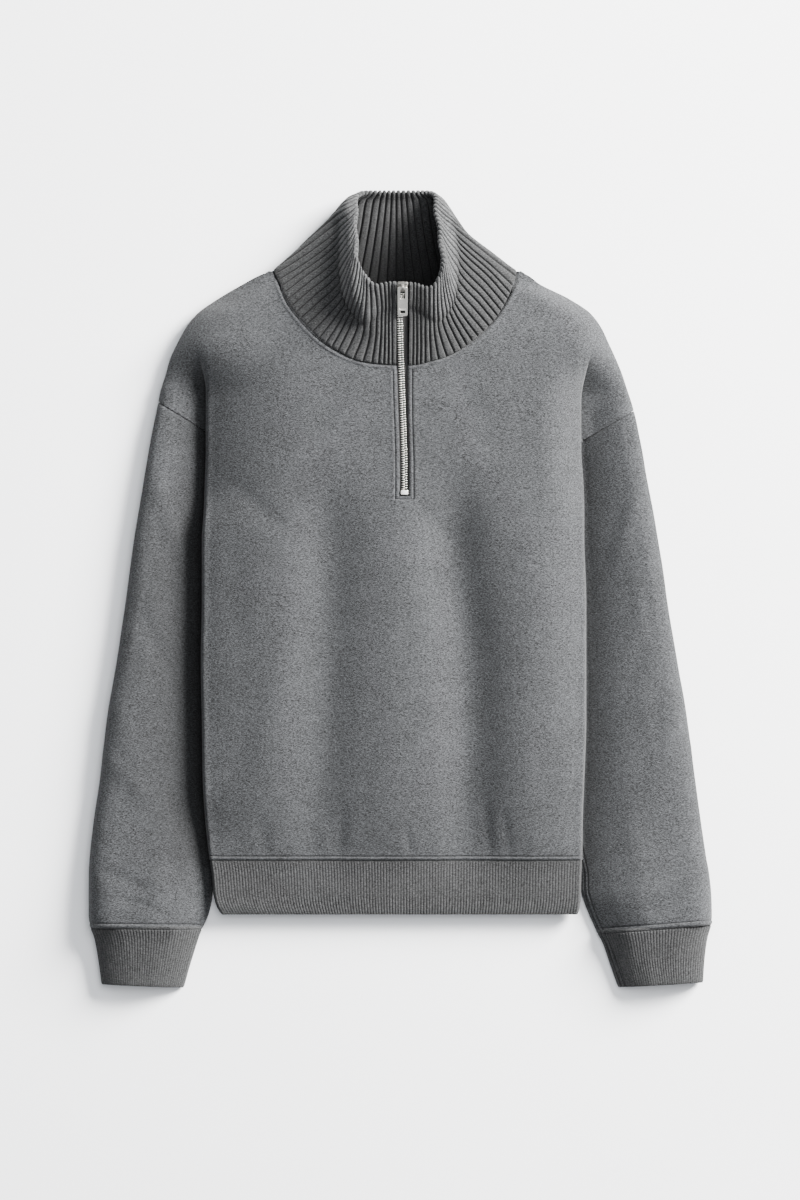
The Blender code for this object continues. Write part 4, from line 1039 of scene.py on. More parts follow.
def build_sleeve(settings, side):
    top, cross, under = ARMHOLE[side]
    t = (top[0] - cross[0]) / (top[0] - under[0])
    bend = cross[1] - (top[1] + (under[1] - top[1]) * t)
    ends = SLEEVE_END[side]
    table = [(k, *row) for k, row in enumerate(RINGS)]
    down_outer, down_inner, share = (curve(table, k) for k in (1, 2, 3))
    gap = 0.5
    loops = []
    marks = np.concatenate([np.linspace(0.0, 3.0, 34)[:-1], np.linspace(3.0, 10.0, 70)[:-1],
                            np.linspace(10.0, 10.6, 9)[:-1], np.linspace(10.6, 11.0, 20)])
    for mark in marks:
        ya = top[1] - gap + (ends[0] - top[1] + gap) * float(down_outer(mark))
        yb = under[1] - gap + (ends[1] - under[1] + gap) * float(down_inner(mark))
        loops.append(ring(side, (float(OUTER[side](ya)), ya), (float(TUCK[side](yb)), yb),
                          bend * float(share(mark))))
    grid = close_smoothly(loops, 6)
    x, y = grid[..., 0], grid[..., 1]
    start = running(gaps(grid))
    end = start[-1] - start
    relief = creases(x, y, SLEEVE_CREASES[side])
    relief = relief + bells((start, 0.0, 1.2, -1.0), (end, 2.0, 1.1, 0.6), (end, 0.0, 0.9, -1.4),
                            (end, 4.6, 0.9, -1.2))
    # painted shade in the seam ditches at both ends of the sleeve
    sunk = bells((start, 0.0, 0.8, 0.9), (end, 0.0, 0.7, 0.9), (end, 4.6, 0.8, 0.8))
    # painted shadow of the raised body edge on the sleeve beside it
    deep, far = (0.95, 46.0 + 44.0 * ease(150.0, 0.0, y)) if side < 0 else (0.60, 34.0)
    sunk = sunk + deep * fade(-side * (EDGE[side](y) - x), far) * ease(-352.0, -270.0, y)
    outward = normals(grid, True) * side
    upper = ease(-0.2, 0.35, outward[..., 2]) * ease(6.0, 12.0, grid[..., 2])
    if side > 0:
        away = side * (x - TUCK[side](y))
        shown = ease(-262.0, -280.0, y) * ease(0.0, 0.3, outward[..., 2])
        height, dark = underarm_seam(away, 4.4, 8.2, 1.1, 0.8, 0.3)
        relief, sunk = relief + height * shown, sunk + dark * shown
        upper = np.maximum(upper, bell(away, 5.0, 3.4) * shown)
    grid = grid + outward * (relief * upper)[..., None]
    if side < 0:
        grid, sunk = grid[:, ::-1], sunk[:, ::-1]
    piece = grid_mesh("Sleeve_" + WORD[side], grid, fleece_finish(settings), wrap=True, sunk=sunk)
    thicken(piece, settings.cloth_thickness / MM)
    finish_piece(piece, "sleeve_" + WORD[side])


CUFF_RIBS = 79
RIB_COLUMNS = 5        # columns of mesh for each rib of hem and cuffs


def knit_ribs(settings, phase, strength):
    """Height of the ribs round a band and the painted shade in their grooves; phase counts the
    ribs.
    """
    groove = np.abs(2.0 * (phase - np.floor(phase)) - 1.0) ** 3
    away = np.abs(phase - np.round(phase))
    return -groove * settings.rib_depth / MM * strength, bell(away, 0.0, 0.20) * strength


def close_ring(grid):
    return np.concatenate([grid, grid[:, :1]], axis=1)


def build_cuff(settings, side):
    table = [(k, *row) for k, row in enumerate(CUFF[side])]
    parts = [curve(table, k) for k in range(1, 6)]
    marks = np.concatenate([np.linspace(-0.35, 1.0, 22)[:-1], np.linspace(1.0, 3.0, 26)])
    loops = []
    for mark in marks:
        xa, ya, xb, yb, crest = (float(part(max(0.0, mark))) for part in parts)
        early = min(0.0, mark) * -8.0
        loops.append(ring(side, (xa, ya + early), (xb, yb + early), 0.0, crest))
    closed = close_ring(close_smoothly(loops, 24))
    reach = running(gaps(closed, 1), 1)
    wanted = np.linspace(0.0, 1.0, CUFF_RIBS * RIB_COLUMNS + 1)[:-1]
    grid = np.array([[np.interp(wanted * along[-1], along, row[:, k]) for k in range(3)]
                     for along, row in zip(reach, closed)]).transpose(0, 2, 1)
    outward = normals(grid, True) * side
    down = running(gaps(grid[:, 0]))[:, None]
    strength = ease(1.5, 4.5, down) * (1.0 - 0.6 * ease(10.0, 48.0, down))
    # sunk is the painted shade in the rib grooves, at the cuff seam and along the underarm seam
    relief, sunk = knit_ribs(settings, wanted * CUFF_RIBS, strength)
    relief = relief + bells((down, 3.2, 0.9, -1.0), (down[-1] - down, 0.0, 0.8, -0.5))
    sunk = sunk + 0.9 * bell(down, 3.0, 0.8)
    if side > 0:
        inner = np.interp(-grid[..., 1], [-row[3] for row in CUFF[side]],
                          [row[2] for row in CUFF[side]])
        shown = ease(0.0, 0.3, outward[..., 2])
        height, dark = underarm_seam(grid[..., 0] - inner, 4.6, 8.6, 1.3, 0.9, 0.4)
        relief, sunk = relief + height * shown, sunk + dark * shown
    grid = grid + outward * relief[..., None]
    if side < 0:
        grid, sunk = grid[:, ::-1], sunk[:, ::-1]
    piece = grid_mesh("Cuff_" + WORD[side], grid, rib_finish(settings), wrap=True, sunk=sunk)
    thicken(piece, RIB)
    finish_piece(piece, "cuff_" + WORD[side])


# ---------------------------------------------------------------- hem band
HEM_ROWS = [-290.2, -291.0, -291.8, -293.0, -296.0, -301.0, -307.0, -314.0, -321.0, -328.0,
            -334.0, -340.0, -344.0, -346.4, -347.2]


def build_hem(settings):
    loops = []
    for y in HEM_ROWS:
        fronts, backs, turns = {}, {}, {}
        for side, last in ((-1, -0.6), (1, 10.3)):
            row = front_controls(side, y, last)
            start = row[-1][0]
            x = start + (last - start) * np.linspace(0.0, 1.0, 30)[1:]
            inner = np.stack([x, np.full(29, y), front_height(side, x, y)], axis=1)
            fronts[side] = np.concatenate([refine([row], np.linspace(0, 9, 46))[0], inner])
            row = back_row(side, y, y, BACK_MIDDLE)
            backs[side] = refine([row], np.linspace(0, len(row) - 1.0, 4 * len(row)))[0]
            x, _, z = fronts[side][0]
            turns[side] = np.array([(x - side * 1.6, y, z + LAYER / 2.0)])
        loops.append(np.concatenate([fronts[-1], fronts[1][::-1], turns[1], backs[1],
                                     backs[-1][:-1][::-1], turns[-1]]))
    closed = close_ring(np.array(loops))
    reach = running(gaps(closed, 1).mean(axis=0))
    ribs = int(round(reach[-1] / (settings.rib_pitch / MM)))
    wanted = np.linspace(0.0, 1.0, ribs * RIB_COLUMNS + 1)[:-1]
    column = np.interp(wanted * reach[-1], reach, np.arange(len(reach)))
    low = column.astype(int)
    share = (column - low)[None, :, None]
    grid = closed[:, low] * (1.0 - share) + closed[:, low + 1] * share
    y = grid[..., 1]
    strength = ease(-290.6, -293.0, y) * (1.0 - 0.5 * ease(-298.0, -338.0, y))
    # sunk is the painted shade in the rib grooves and at the hem seam
    relief, sunk = knit_ribs(settings, wanted * ribs, strength)
    relief = relief + bells((y, HEM_ROWS[0], 0.9, -0.9), (y, HEM_ROWS[-1], 1.0, -0.5))
    sunk = sunk + 0.9 * bell(y, HEM_ROWS[0], 0.8)
    grid = grid - normals(grid, True) * relief[..., None]
    piece = grid_mesh("Hem", grid, rib_finish(settings), wrap=True, sunk=sunk)
    thicken(piece, RIB)
    finish_piece(piece, "hem_rib")


# ---------------------------------------------------------------- collar
# one row a station: x and y of the neck seam, two points of the cone, the crease and the crest,
# then the heights of crease and crest; the heights below the crease follow
COLLAR_ROWS = {
    -1: [
        (-3.9, 239.5, -4.1, 261.1, -4.3, 282.5, -4.1, 303.9, -4.1, 323.1, 57, 67),
        (-14.8, 240.5, -14.2, 261.1, -14.2, 281.4, -13.7, 301.7, -14.8, 322.6, 56.5, 67),
        (-29.7, 241.8, -26.5, 261.1, -24.9, 276.1, -24.9, 296.4, -26.5, 322.1, 54.5, 67),
        (-49.0, 245.8, -41.5, 263.2, -37.8, 276.1, -37.5, 287.8, -34.6, 329.0, 50.5, 66.5),
        (-61.8, 252.5, -52.8, 270.7, -46.9, 283.6, -44.2, 293.7, -39.4, 334.4, 49, 66),
        (-78.4, 262.6, -66.1, 280.9, -57.6, 294.2, -52.2, 305.5, -44.2, 346.7, 47, 64.5),
        (-92.3, 274.5, -76.8, 290.5, -64.5, 303.9, -57.0, 317.8, -45.8, 356.3, 44.5, 61),
        (-105.2, 288.4, -85.4, 306.0, -70.4, 318.9, -59.2, 333.8, -46.3, 366.5, 42, 57.5),
        (-115.3, 301.2, -92.9, 319.9, -74.7, 333.8, -59.7, 351.0, -46.9, 376.6, 39, 52.5),
        (-122.8, 315.7, -99.3, 333.3, -77.9, 348.8, -59.7, 366.5, -46.9, 386.3, 35.5, 47.5),
        (-128.7, 329.6, -103.6, 345.1, -80.0, 361.7, -59.7, 380.4, -46.9, 395.4, 32, 42),
        (-132.7, 338.7, -104.6, 356.8, -81.6, 373.4, -60.2, 390.0, -46.9, 402.9, 29, 38),
        (-128.2, 340.0, -107.0, 362.2, -85.9, 380.9, -64.0, 399.1, -47.4, 409.3),
        (-116.4, 335.5, -100.4, 361.7, -82.2, 384.1, -63.5, 405.0, -47.4, 414.6),
        (-100.4, 330.5, -86.5, 357.4, -74.7, 385.7, -59.7, 410.9, -45.3, 419.4),
        (-76.8, 325.5, -66.1, 356.3, -58.6, 388.4, -51.1, 414.1, -38.8, 422.7),
        (-40.4, 321.6, -34.0, 356.3, -28.7, 388.4, -24.9, 414.1, -21.7, 423.2),
    ],
    1: [
        (9.6, 239.5, 9.8, 261.1, 10.2, 282.5, 10.2, 303.9, 10.4, 322.6, 57, 67),
        (19.5, 240.2, 20.0, 261.1, 20.0, 281.4, 20.0, 300.7, 20.0, 321.0, 56.5, 67),
        (32.8, 243.6, 31.8, 261.1, 31.2, 275.0, 31.2, 293.2, 30.7, 318.9, 54.5, 66.5),
        (49.4, 248.6, 44.1, 263.2, 40.3, 277.1, 39.3, 290.0, 38.7, 324.2, 51, 66.5),
        (61.2, 254.4, 53.2, 270.7, 47.8, 283.6, 45.7, 295.3, 43.5, 332.8, 49, 66),
        (76.2, 264.8, 65.5, 280.9, 57.5, 294.2, 52.6, 308.2, 45.2, 345.6, 47, 64.5),
        (88.5, 275.0, 75.1, 290.5, 63.3, 305.0, 55.9, 318.9, 45.2, 355.2, 44.5, 61),
        (98.7, 286.0, 82.6, 305.0, 68.2, 319.9, 57.2, 336.0, 44.1, 365.9, 42, 57.5),
        (106.7, 297.2, 88.0, 318.9, 70.8, 336.0, 57.5, 353.1, 43.0, 375.6, 39, 52.5),
        (113.7, 310.0, 93.3, 332.8, 73.0, 351.0, 56.4, 368.1, 41.4, 385.2, 35.5, 47.5),
        (119.2, 323.9, 96.5, 344.5, 74.0, 363.3, 54.2, 380.9, 39.8, 394.8, 32, 42),
        (122.6, 337.5, 97.6, 355.2, 74.0, 373.4, 52.6, 390.6, 38.7, 402.9, 29, 38),
        (116.3, 339.0, 96.0, 357.4, 75.6, 372.9, 55.3, 393.8, 38.7, 409.3),
        (105.1, 335.5, 90.1, 357.9, 71.9, 376.1, 52.6, 402.3, 38.7, 414.6),
        (90.1, 330.0, 77.3, 356.3, 65.5, 380.9, 49.4, 408.7, 37.7, 419.4),
        (67.6, 325.5, 58.0, 356.3, 51.0, 388.4, 43.0, 414.1, 31.8, 422.7),
        (32.3, 321.6, 25.4, 356.3, 20.5, 388.4, 17.3, 414.1, 14.7, 423.2),
    ],
}
# heights of the last five stations, which lie behind the shoulder
COLLAR_BEHIND = [(12, 13.5, 18, 24, 32.5), (6.5, 7, 10.5, 17.5, 27),
                 (3.6, 4, 5.5, 11.5, 21), (3.1, 3.1, 3.8, 7.5, 14.5),
                 (3.1, 3.1, 3.3, 5.5, 11)]
COLLAR_BACK = ((-4.1, 320.6, 3.1), (-4.1, 356.3, 3.1), (-4.1, 388.4, 3.2), (-4.1, 413.0, 4.5),
               (-4.1, 423.2, 9.5))
RIBS_ROUND = 72        # ribs from one zip edge round to the other
STATION_RIB = [0.0, 2.5, 5.0, 7.0, 8.5, 11.0, 13.0, 15.0, 17.0, 19.0, 21.0, 22.5, 24.0, 25.5,
               27.0, 29.0, 32.5]


def spline(points, count):
    """Even samples of a curve through the points."""
    pts = [np.array(p, dtype=float) for p in points]
    pts = [2 * pts[0] - pts[1]] + pts + [2 * pts[-1] - pts[-2]]
    made = []
    for k in range(count):
        s = k / (count - 1) * (len(pts) - 3)
        i = min(int(s), len(pts) - 4)
        t = s - i
        p0, p1, p2, p3 = pts[i:i + 4]
        made.append(0.5 * (2 * p1 + (p2 - p0) * t + (2 * p0 - 5 * p1 + 4 * p2 - p3) * t * t
                           + (3 * p1 - p0 - 3 * p2 + p3) * t ** 3))
    return np.array(made)


def station(side, row, heights, count):
    """Middle line of the collar from the neck seam to its crest."""
    if heights is None:
        start = float(body_height(side, row[0], min(row[1], 338.0)))
        fold, crest = row[10:]
        heights = (start, start + (fold - start) / 3.0, start + (fold - start) * 2.0 / 3.0, fold,
                   crest)
    return spline([(row[2 * k], row[2 * k + 1], z) for k, z in enumerate(heights)], count)


def collar_middle(count):
    """Middle surface of the collar: one row for each station, from zip edge to zip edge."""
    given = [None] * (len(STATION_RIB) - len(COLLAR_BEHIND)) + COLLAR_BEHIND
    left, right = ([station(side, row, heights, count)
                    for row, heights in zip(COLLAR_ROWS[side], given)] for side in (-1, 1))
    marks = STATION_RIB + [RIBS_ROUND / 2.0] + [RIBS_ROUND - u for u in STATION_RIB[::-1]]
    return np.array(marks), np.array(left + [spline(COLLAR_BACK, count)] + right[::-1])


COLLAR_POINTS = 30     # from the neck seam to the crest
CREASE_POINT = 22      # the point below which the collar doesn't roll
TIP_ANGLES = (35.0, 65.0, 90.0, 115.0, 145.0)     # round the collar's upper rim


def build_collar(settings):
    marks, rows = collar_middle(COLLAR_POINTS)
    u = np.linspace(0.0, RIBS_ROUND, RIBS_ROUND * 10 + 1)
    grid = bend_through(marks, rows, u)
    grid[..., 2] = np.maximum(grid[..., 2], COLLAR / 2.0 + 0.05)
    into = -normals(grid, False)
    pitch = np.linalg.norm(np.gradient(grid, u, axis=0), axis=2)
    near = np.abs(u - np.round(u))[:, None]
    zip_end = np.minimum(u, RIBS_ROUND - u)[:, None]
    ribbed = ease(0.5, 1.1, zip_end)
    sunk = settings.collar_groove / MM * bell(near * pitch, 0.0, 0.85)
    sunk = (sunk + 0.6 * (1.0 - 2.0 * near) ** 2) * ribbed
    shade = bell(near * pitch, 0.0, 0.75) * ribbed
    v = np.linspace(0.0, 1.0, COLLAR_POINTS)[None, :]
    front_part = ease(26.0, 21.0, zip_end)
    # a slight swell where the roll begins, a soft dip below the crest and soft waves along it
    soft = bells((v, 0.74, 0.05, 0.9), (v, 0.9, 0.08, -0.5)) * front_part
    wave = 0.9 * np.sin(zip_end * 0.9) * ease(0.7, 1.0, v) * front_part
    grid = grid + into * (wave - soft)[..., None]
    band = np.clip((v - 0.70) / 0.30, 0.0, 1.0)
    roll = np.sin(math.pi * band ** 0.9) ** 1.25 * ease(31.0, 25.0, zip_end)
    left_side = (u < RIBS_ROUND / 2.0)[:, None]
    roll = roll * (0.30 + np.where(left_side, 0.52, 0.0) * ease(4.0, 11.0, zip_end))
    grid[..., 2] += roll * (grid[:, -1:, 2] - grid[:, CREASE_POINT:CREASE_POINT + 1, 2])
    into = -normals(grid, False)
    half = COLLAR / 2.0
    lining = grid + into * (half - sunk)[..., None]
    face = grid - into * (half - sunk * 0.85)[..., None]
    def outwards(rim, before):
        way = rim - before
        return way / np.linalg.norm(way, axis=1, keepdims=True)

    way = outwards(grid[:, -1], grid[:, -2])
    size = half - sunk[:, -1:] * 0.9
    tip = []
    for angle in TIP_ANGLES:
        turn = math.radians(angle)
        tip.append(grid[:, -1] + into[:, -1] * math.cos(turn) * size + way * math.sin(turn) * size)
    way = outwards(grid[:, 0], grid[:, 1])
    foot = [grid[:, 0] - into[:, 0] * half * 0.7 + way * 0.8,
            grid[:, 0] + into[:, 0] * half * 0.55 + way * 1.1]
    loop = np.concatenate([lining, np.stack(tip, axis=1), face[:, ::-1],
                           np.stack(foot, axis=1)], axis=1)
    loop[..., 2] = np.maximum(loop[..., 2], 0.03)
    # painted shade on the lining inside the collar, darkest near the neck seam, where little light
    # reaches
    lining_shade = 0.10 + 0.85 * (1.0 - v) + 0.6 * shade
    # painted light on the rolled edge, where the key light catches it, and painted shade on the
    # right half of the collar below it
    light = ease(0.70, 0.80, v) * ease(3.0, 9.0, zip_end) * ease(33.0, 28.0, zip_end)
    painted_tone = np.where(left_side, 0.0, 0.26) * (1.0 - light) - 0.72 * light
    shade = shade + (1.0 - shade) * painted_tone
    shade = np.concatenate([lining_shade, shade[:, -1:].repeat(len(tip), axis=1), shade[:, ::-1],
                            shade[:, :1].repeat(len(foot), axis=1)], axis=1)
    piece = grid_mesh("Collar", loop, rib_finish(settings), wrap=True, caps=True, sunk=shade)
    clean(piece.data, outward=True)
    finish_piece(piece, "collar")


# ---------------------------------------------------------------- zip
def zip_middle():
    """Middle line of the zip in the collar: y and height of the tape's seat."""
    rows = collar_middle(9)[1]
    return (rows[0] + rows[-1]) / 2.0


def collar_z(y):
    line = zip_middle()
    return float(np.interp(y, line[:, 1], line[:, 2]))


TAPE_HALF = 11.0       # half the width of the tape below the neck seam
CHAIN = (106.4, 314.5)  # y of the lowest tooth and of the chain's upper end
TOOTH_ASIDE = 1.42     # from the zip's middle to a tooth's middle
TOOTH_UP = 1.95        # from the tape to a tooth's middle


def tape_rows():
    """Cross rows of the tape, from the bottom stop to the collar's upper edge."""
    rows = []
    for y in (92.0, 110.0, 135.0, 165.0, 200.0, 226.0):
        x = float(ZIP_X(y))
        low = min(float(front_height(-1, x + step, y)) for step in (-TAPE_HALF, 0.0, TAPE_HALF))
        rows.append((y, x - TAPE_HALF, x + TAPE_HALF, low - CLOTH / 2.0 - 1.7))
    for y in (232.0, 241.0, 262.0, 283.0, 304.0, 312.0, 320.4):
        base = collar_z(y) - 0.6 if y > 239.0 else float(front_height(-1, ZIP_X(y), y)) - 1.9
        rows.append((y, -2.7, 8.2, base))
    return np.array(rows)


def tape_height(y):
    rows = tape_rows()
    return np.interp(y, rows[:, 0], rows[:, 3])


def build_tape(settings):
    rows = tape_rows()
    ys = np.linspace(rows[0, 0], rows[-1, 0], 100)
    low, high, base = (np.interp(ys, rows[:, 0], rows[:, k]) for k in (1, 2, 3))
    share = np.linspace(0.0, 1.0, 13)[None, :]
    x = low[:, None] * (1.0 - share) + high[:, None] * share
    swell = 0.35 * bell(share, 0.5, 0.18)
    grid = np.stack([x, np.repeat(ys[:, None], 13, axis=1), base[:, None] + swell], axis=2)
    piece = grid_mesh("Zip_tape", grid, tape_material(settings.tape_colour))
    thicken(piece, 0.8, 0.2)
    finish_piece(piece, "zip_tape")


def row_tree():
    """Geometry Nodes: pieces set at even steps along a guide line, turned to follow it."""
    if "Row of pieces" in bpy.data.node_groups:
        return bpy.data.node_groups["Row of pieces"]
    tree, source, result = new_group(
        "Row of pieces", "GeometryNodeTree",
        [("Guide", "NodeSocketGeometry", None), ("Piece", "NodeSocketObject", None),
         ("Step", "NodeSocketFloat", 0.0025), ("Uneven", "NodeSocketFloat", 0.0),
         ("Finish", "NodeSocketMaterial", None)],
        [("Geometry", "NodeSocketGeometry")])
    nodes = tree.nodes
    line = nodes.new("GeometryNodeMeshToCurve")
    spots = nodes.new("GeometryNodeCurveToPoints")
    spots.mode = "LENGTH"
    ahead = nodes.new("FunctionNodeAlignRotationToVector")
    ahead.axis = "X"
    upright = nodes.new("FunctionNodeAlignRotationToVector")
    upright.axis = "Z"
    upright.pivot_axis = "X"
    upright.inputs["Vector"].default_value = (0.0, 0.0, 1.0)
    piece = nodes.new("GeometryNodeObjectInfo")
    place = nodes.new("GeometryNodeInstanceOnPoints")
    random = nodes.new("FunctionNodeRandomValue")
    random.data_type = "FLOAT_VECTOR"
    random.inputs["Seed"].default_value = 7
    low, high = nodes.new("ShaderNodeVectorMath"), nodes.new("ShaderNodeVectorMath")
    for node, sign in ((low, -1.0), (high, 1.0)):
        node.operation = "SCALE"
        node.inputs[0].default_value = (sign, sign, 0.3 * sign)
    shift = nodes.new("GeometryNodeSetPosition")
    real = nodes.new("GeometryNodeRealizeInstances")
    finish = nodes.new("GeometryNodeSetMaterial")
    for giver, given, taker, taken in (
            (source, "Guide", line, "Mesh"), (line, "Curve", spots, "Curve"),
            (source, "Step", spots, "Length"), (spots, "Tangent", ahead, "Vector"),
            (ahead, "Rotation", upright, "Rotation"), (source, "Uneven", low, "Scale"),
            (source, "Uneven", high, "Scale"), (low, 0, random, "Min"), (high, 0, random, "Max"),
            (spots, "Points", shift, "Geometry"), (random, "Value", shift, "Offset"),
            (shift, "Geometry", place, "Points"), (source, "Piece", piece, "Object"),
            (piece, "Geometry", place, "Instance"), (upright, "Rotation", place, "Rotation"),
            (place, "Instances", real, "Geometry"), (real, "Geometry", finish, "Geometry"),
            (source, "Finish", finish, "Material"), (finish, "Geometry", result, "Geometry")):
        tree.links.new(giver.outputs[given], taker.inputs[taken])
    return tree


def set_input(modifier, name, value):
    """Sets one named input of a Geometry Nodes modifier by its socket's identifier."""
    for item in modifier.node_group.interface.items_tree:
        if item.item_type == "SOCKET" and item.in_out == "INPUT" and item.name == name:
            modifier[item.identifier] = value
            return
    raise RuntimeError(f"no input called {name}")


def add_object(name, points, faces, edges=()):
    mesh = bpy.data.meshes.new(name)
    mesh.from_pydata([tuple(float(c) * MM for c in p) for p in points], list(edges), faces)
    mesh.update()
    return place_object(name, mesh)


def row_of(name, unit, guides, step, uneven, finish):
    """Pieces along each guide line, as one mesh."""
    points, edges = [], []
    for guide in guides:
        first = len(points)
        points += [tuple(p) for p in guide]
        edges += [(first + k, first + k + 1) for k in range(len(guide) - 1)]
    made = add_object(name, points, [], edges)
    modifier = made.modifiers.new("Row", "NODES")
    modifier.node_group = row_tree()
    for label, value in (("Piece", unit), ("Step", step * MM), ("Uneven", uneven * MM),
                         ("Finish", finish)):
        set_input(modifier, label, value)
    apply_modifiers(made)
    if not made.data.polygons:
        raise RuntimeError(f"{name}: no pieces were placed")
    if not made.data.materials:
        made.data.materials.append(finish)
    return made


def remove_object(piece):
    mesh = piece.data
    bpy.data.objects.remove(piece, do_unlink=True)
    bpy.data.meshes.remove(mesh)


def rounded_block(name, half, cut):
    """Block with bevelled edges around its own middle, in millimetres."""
    a, b, c = half
    points = [(x, y, z) for z in (-c, c) for y in (-b, b) for x in (-a, a)]
    faces = [(0, 2, 3, 1), (4, 5, 7, 6), (0, 1, 5, 4), (2, 6, 7, 3), (0, 4, 6, 2), (1, 3, 7, 5)]
    made = add_object(name, points, faces)
    soften(made, cut, 1, 30.0)
    apply_modifiers(made)
    made.data.shade_smooth()
    return made


def build_teeth(settings):
    unit = rounded_block("Tooth", (0.46, 1.55, 0.95), 0.2)
    pitch = settings.tooth_pitch / MM
    guides = []
    for side, start in ((-1, CHAIN[0]), (1, CHAIN[0] + pitch / 2.0)):
        ys = np.arange(start, CHAIN[1], pitch / 2.0)
        guides.append(np.stack([ZIP_X(ys) + side * TOOTH_ASIDE, ys, tape_height(ys) + TOOTH_UP],
                               axis=1))
    made = row_of("Zip_teeth", unit, guides, pitch, 0.0, metal_finish(settings))
    remove_object(unit)
    finish_piece(made, "zip_chain")


def plate(name, outline, holes, low, high, bevel, finish):
    """Flat plate with rounded edges and holes; outline and holes are lists of (x, y)."""
    data = bpy.data.curves.new(name, "CURVE")
    data.dimensions = "2D"
    data.fill_mode = "BOTH"
    data.extrude = ((high - low) / 2.0 - bevel) * MM
    data.bevel_depth = bevel * MM
    data.bevel_resolution = 2
    for points in [outline, *holes]:
        line = data.splines.new("POLY")
        line.points.add(len(points) - 1)
        line.use_cyclic_u = True
        for point, (x, y) in zip(line.points, points):
            point.co = (x * MM, y * MM, 0.0, 1.0)
    shape = place_object(name, data)
    graph = bpy.context.evaluated_depsgraph_get()
    mesh = bpy.data.meshes.new_from_object(shape.evaluated_get(graph))
    bpy.data.objects.remove(shape, do_unlink=True)
    bpy.data.curves.remove(data)
    for vertex in mesh.vertices:
        vertex.co.z += (high + low) / 2.0 * MM
    mesh.materials.clear()
    mesh.materials.append(finish)
    clean(mesh, merge=1e-6, outward=True)
    return place_object(name, mesh)


def rounded(half_width, low, high, radius, taper=1.0):
    """Rounded outline; taper narrows its lower end."""
    points = []
    above, below = half_width - radius, half_width * taper - radius
    for x, y, start in ((above, high - radius, 0.0), (-above, high - radius, 90.0),
                        (-below, low + radius, 180.0), (below, low + radius, 270.0)):
        for k in range(5):
            turn = math.radians(start + 22.5 * k)
            points.append((x + radius * math.cos(turn), y + radius * math.sin(turn)))
    return points


SLIDER_X, SLIDER_Y = 3.0, 320.6
SLOPE = math.radians(25.0)


def to_slider(piece):
    """Moves a mesh made around the slider's own middle to its place on the zip."""
    across = Vector((1.0, 0.0, 0.0))
    along = Vector((0.0, math.cos(SLOPE), math.sin(SLOPE)))
    up = Vector((0.0, -math.sin(SLOPE), math.cos(SLOPE)))
    middle = Vector((SLIDER_X, SLIDER_Y, collar_z(SLIDER_Y) + 2.7)) * MM
    for vertex in piece.data.vertices:
        a, b, c = vertex.co
        vertex.co = middle + across * a + along * b + up * c
    piece.data.update()


def join(name, parts):
    """One mesh of several parts."""
    work = bmesh.new()
    finish = parts[0].data.materials[0]
    for part in parts:
        work.from_mesh(part.data)
        remove_object(part)
    mesh = bpy.data.meshes.new(name)
    work.to_mesh(mesh)
    work.free()
    mesh.materials.append(finish)
    mesh.shade_smooth()
    mesh.set_sharp_from_angle(angle=math.radians(42.0))
    return place_object(name, mesh)


def bridge_mesh(finish):
    """Arched bridge of the slider, which carries the tab."""
    path = [(-3.6, 2.0), (-3.3, 4.2), (-2.5, 5.4), (-1.2, 5.95), (0.0, 6.05), (1.2, 5.95),
            (2.5, 5.4), (3.3, 4.2), (3.6, 2.0)]
    half, thick = 1.3, 0.45
    points, faces = [], []
    for k, (y, z) in enumerate(path):
        before, after = path[max(0, k - 1)], path[min(len(path) - 1, k + 1)]
        way = np.array((after[0] - before[0], after[1] - before[1]))
        out = np.array((-way[1], way[0])) / np.linalg.norm(way)
        for s, x in ((1, -half), (1, half), (-1, half), (-1, -half)):
            points.append((x, y + out[0] * thick * s, z + out[1] * thick * s))
    for k in range(len(path) - 1):
        for c in range(4):
            a, b = 4 * k + c, 4 * k + (c + 1) % 4
            faces.append((a, b, b + 4, a + 4))
    faces += [(3, 2, 1, 0), tuple(4 * (len(path) - 1) + c for c in range(4))]
    made = add_object("Slider_bridge", points, faces)
    soften(made, 0.22, 2, 50.0)
    apply_modifiers(made)
    made.data.materials.append(finish)
    clean(made.data, outward=True)
    return made


STOP = (4.9, 102.7)    # x, y of the bottom stop


def build_slider(settings):
    finish = metal_material("Slider metal", [0.30 * c for c in settings.metal_colour], 0.4, 0.08)
    outline = rounded(5.6, -4.6, 4.6, 1.2, 0.74)
    parts = [plate("Upper_wing", outline, [], 0.9, 2.2, 0.35, finish),
             plate("Lower_wing", outline, [], -2.2, -0.9, 0.35, finish),
             plate("Divider", rounded(1.5, 0.8, 4.3, 0.6), [], -1.1, 1.1, 0.1, finish),
             bridge_mesh(finish)]
    piece = join("Zip_slider", parts)
    to_slider(piece)
    finish_piece(piece, "zip_slider")
    stop = plate("Zip_stop", rounded(3.5, -2.1, 2.1, 0.7), [], -2.0, 2.0, 0.5,
                 metal_finish(settings))
    height = float(front_height(-1, *STOP)) - 0.2
    for vertex in stop.data.vertices:
        vertex.co += Vector((*STOP, height)) * MM
    stop.data.shade_smooth()
    finish_piece(stop, "zip_stop")


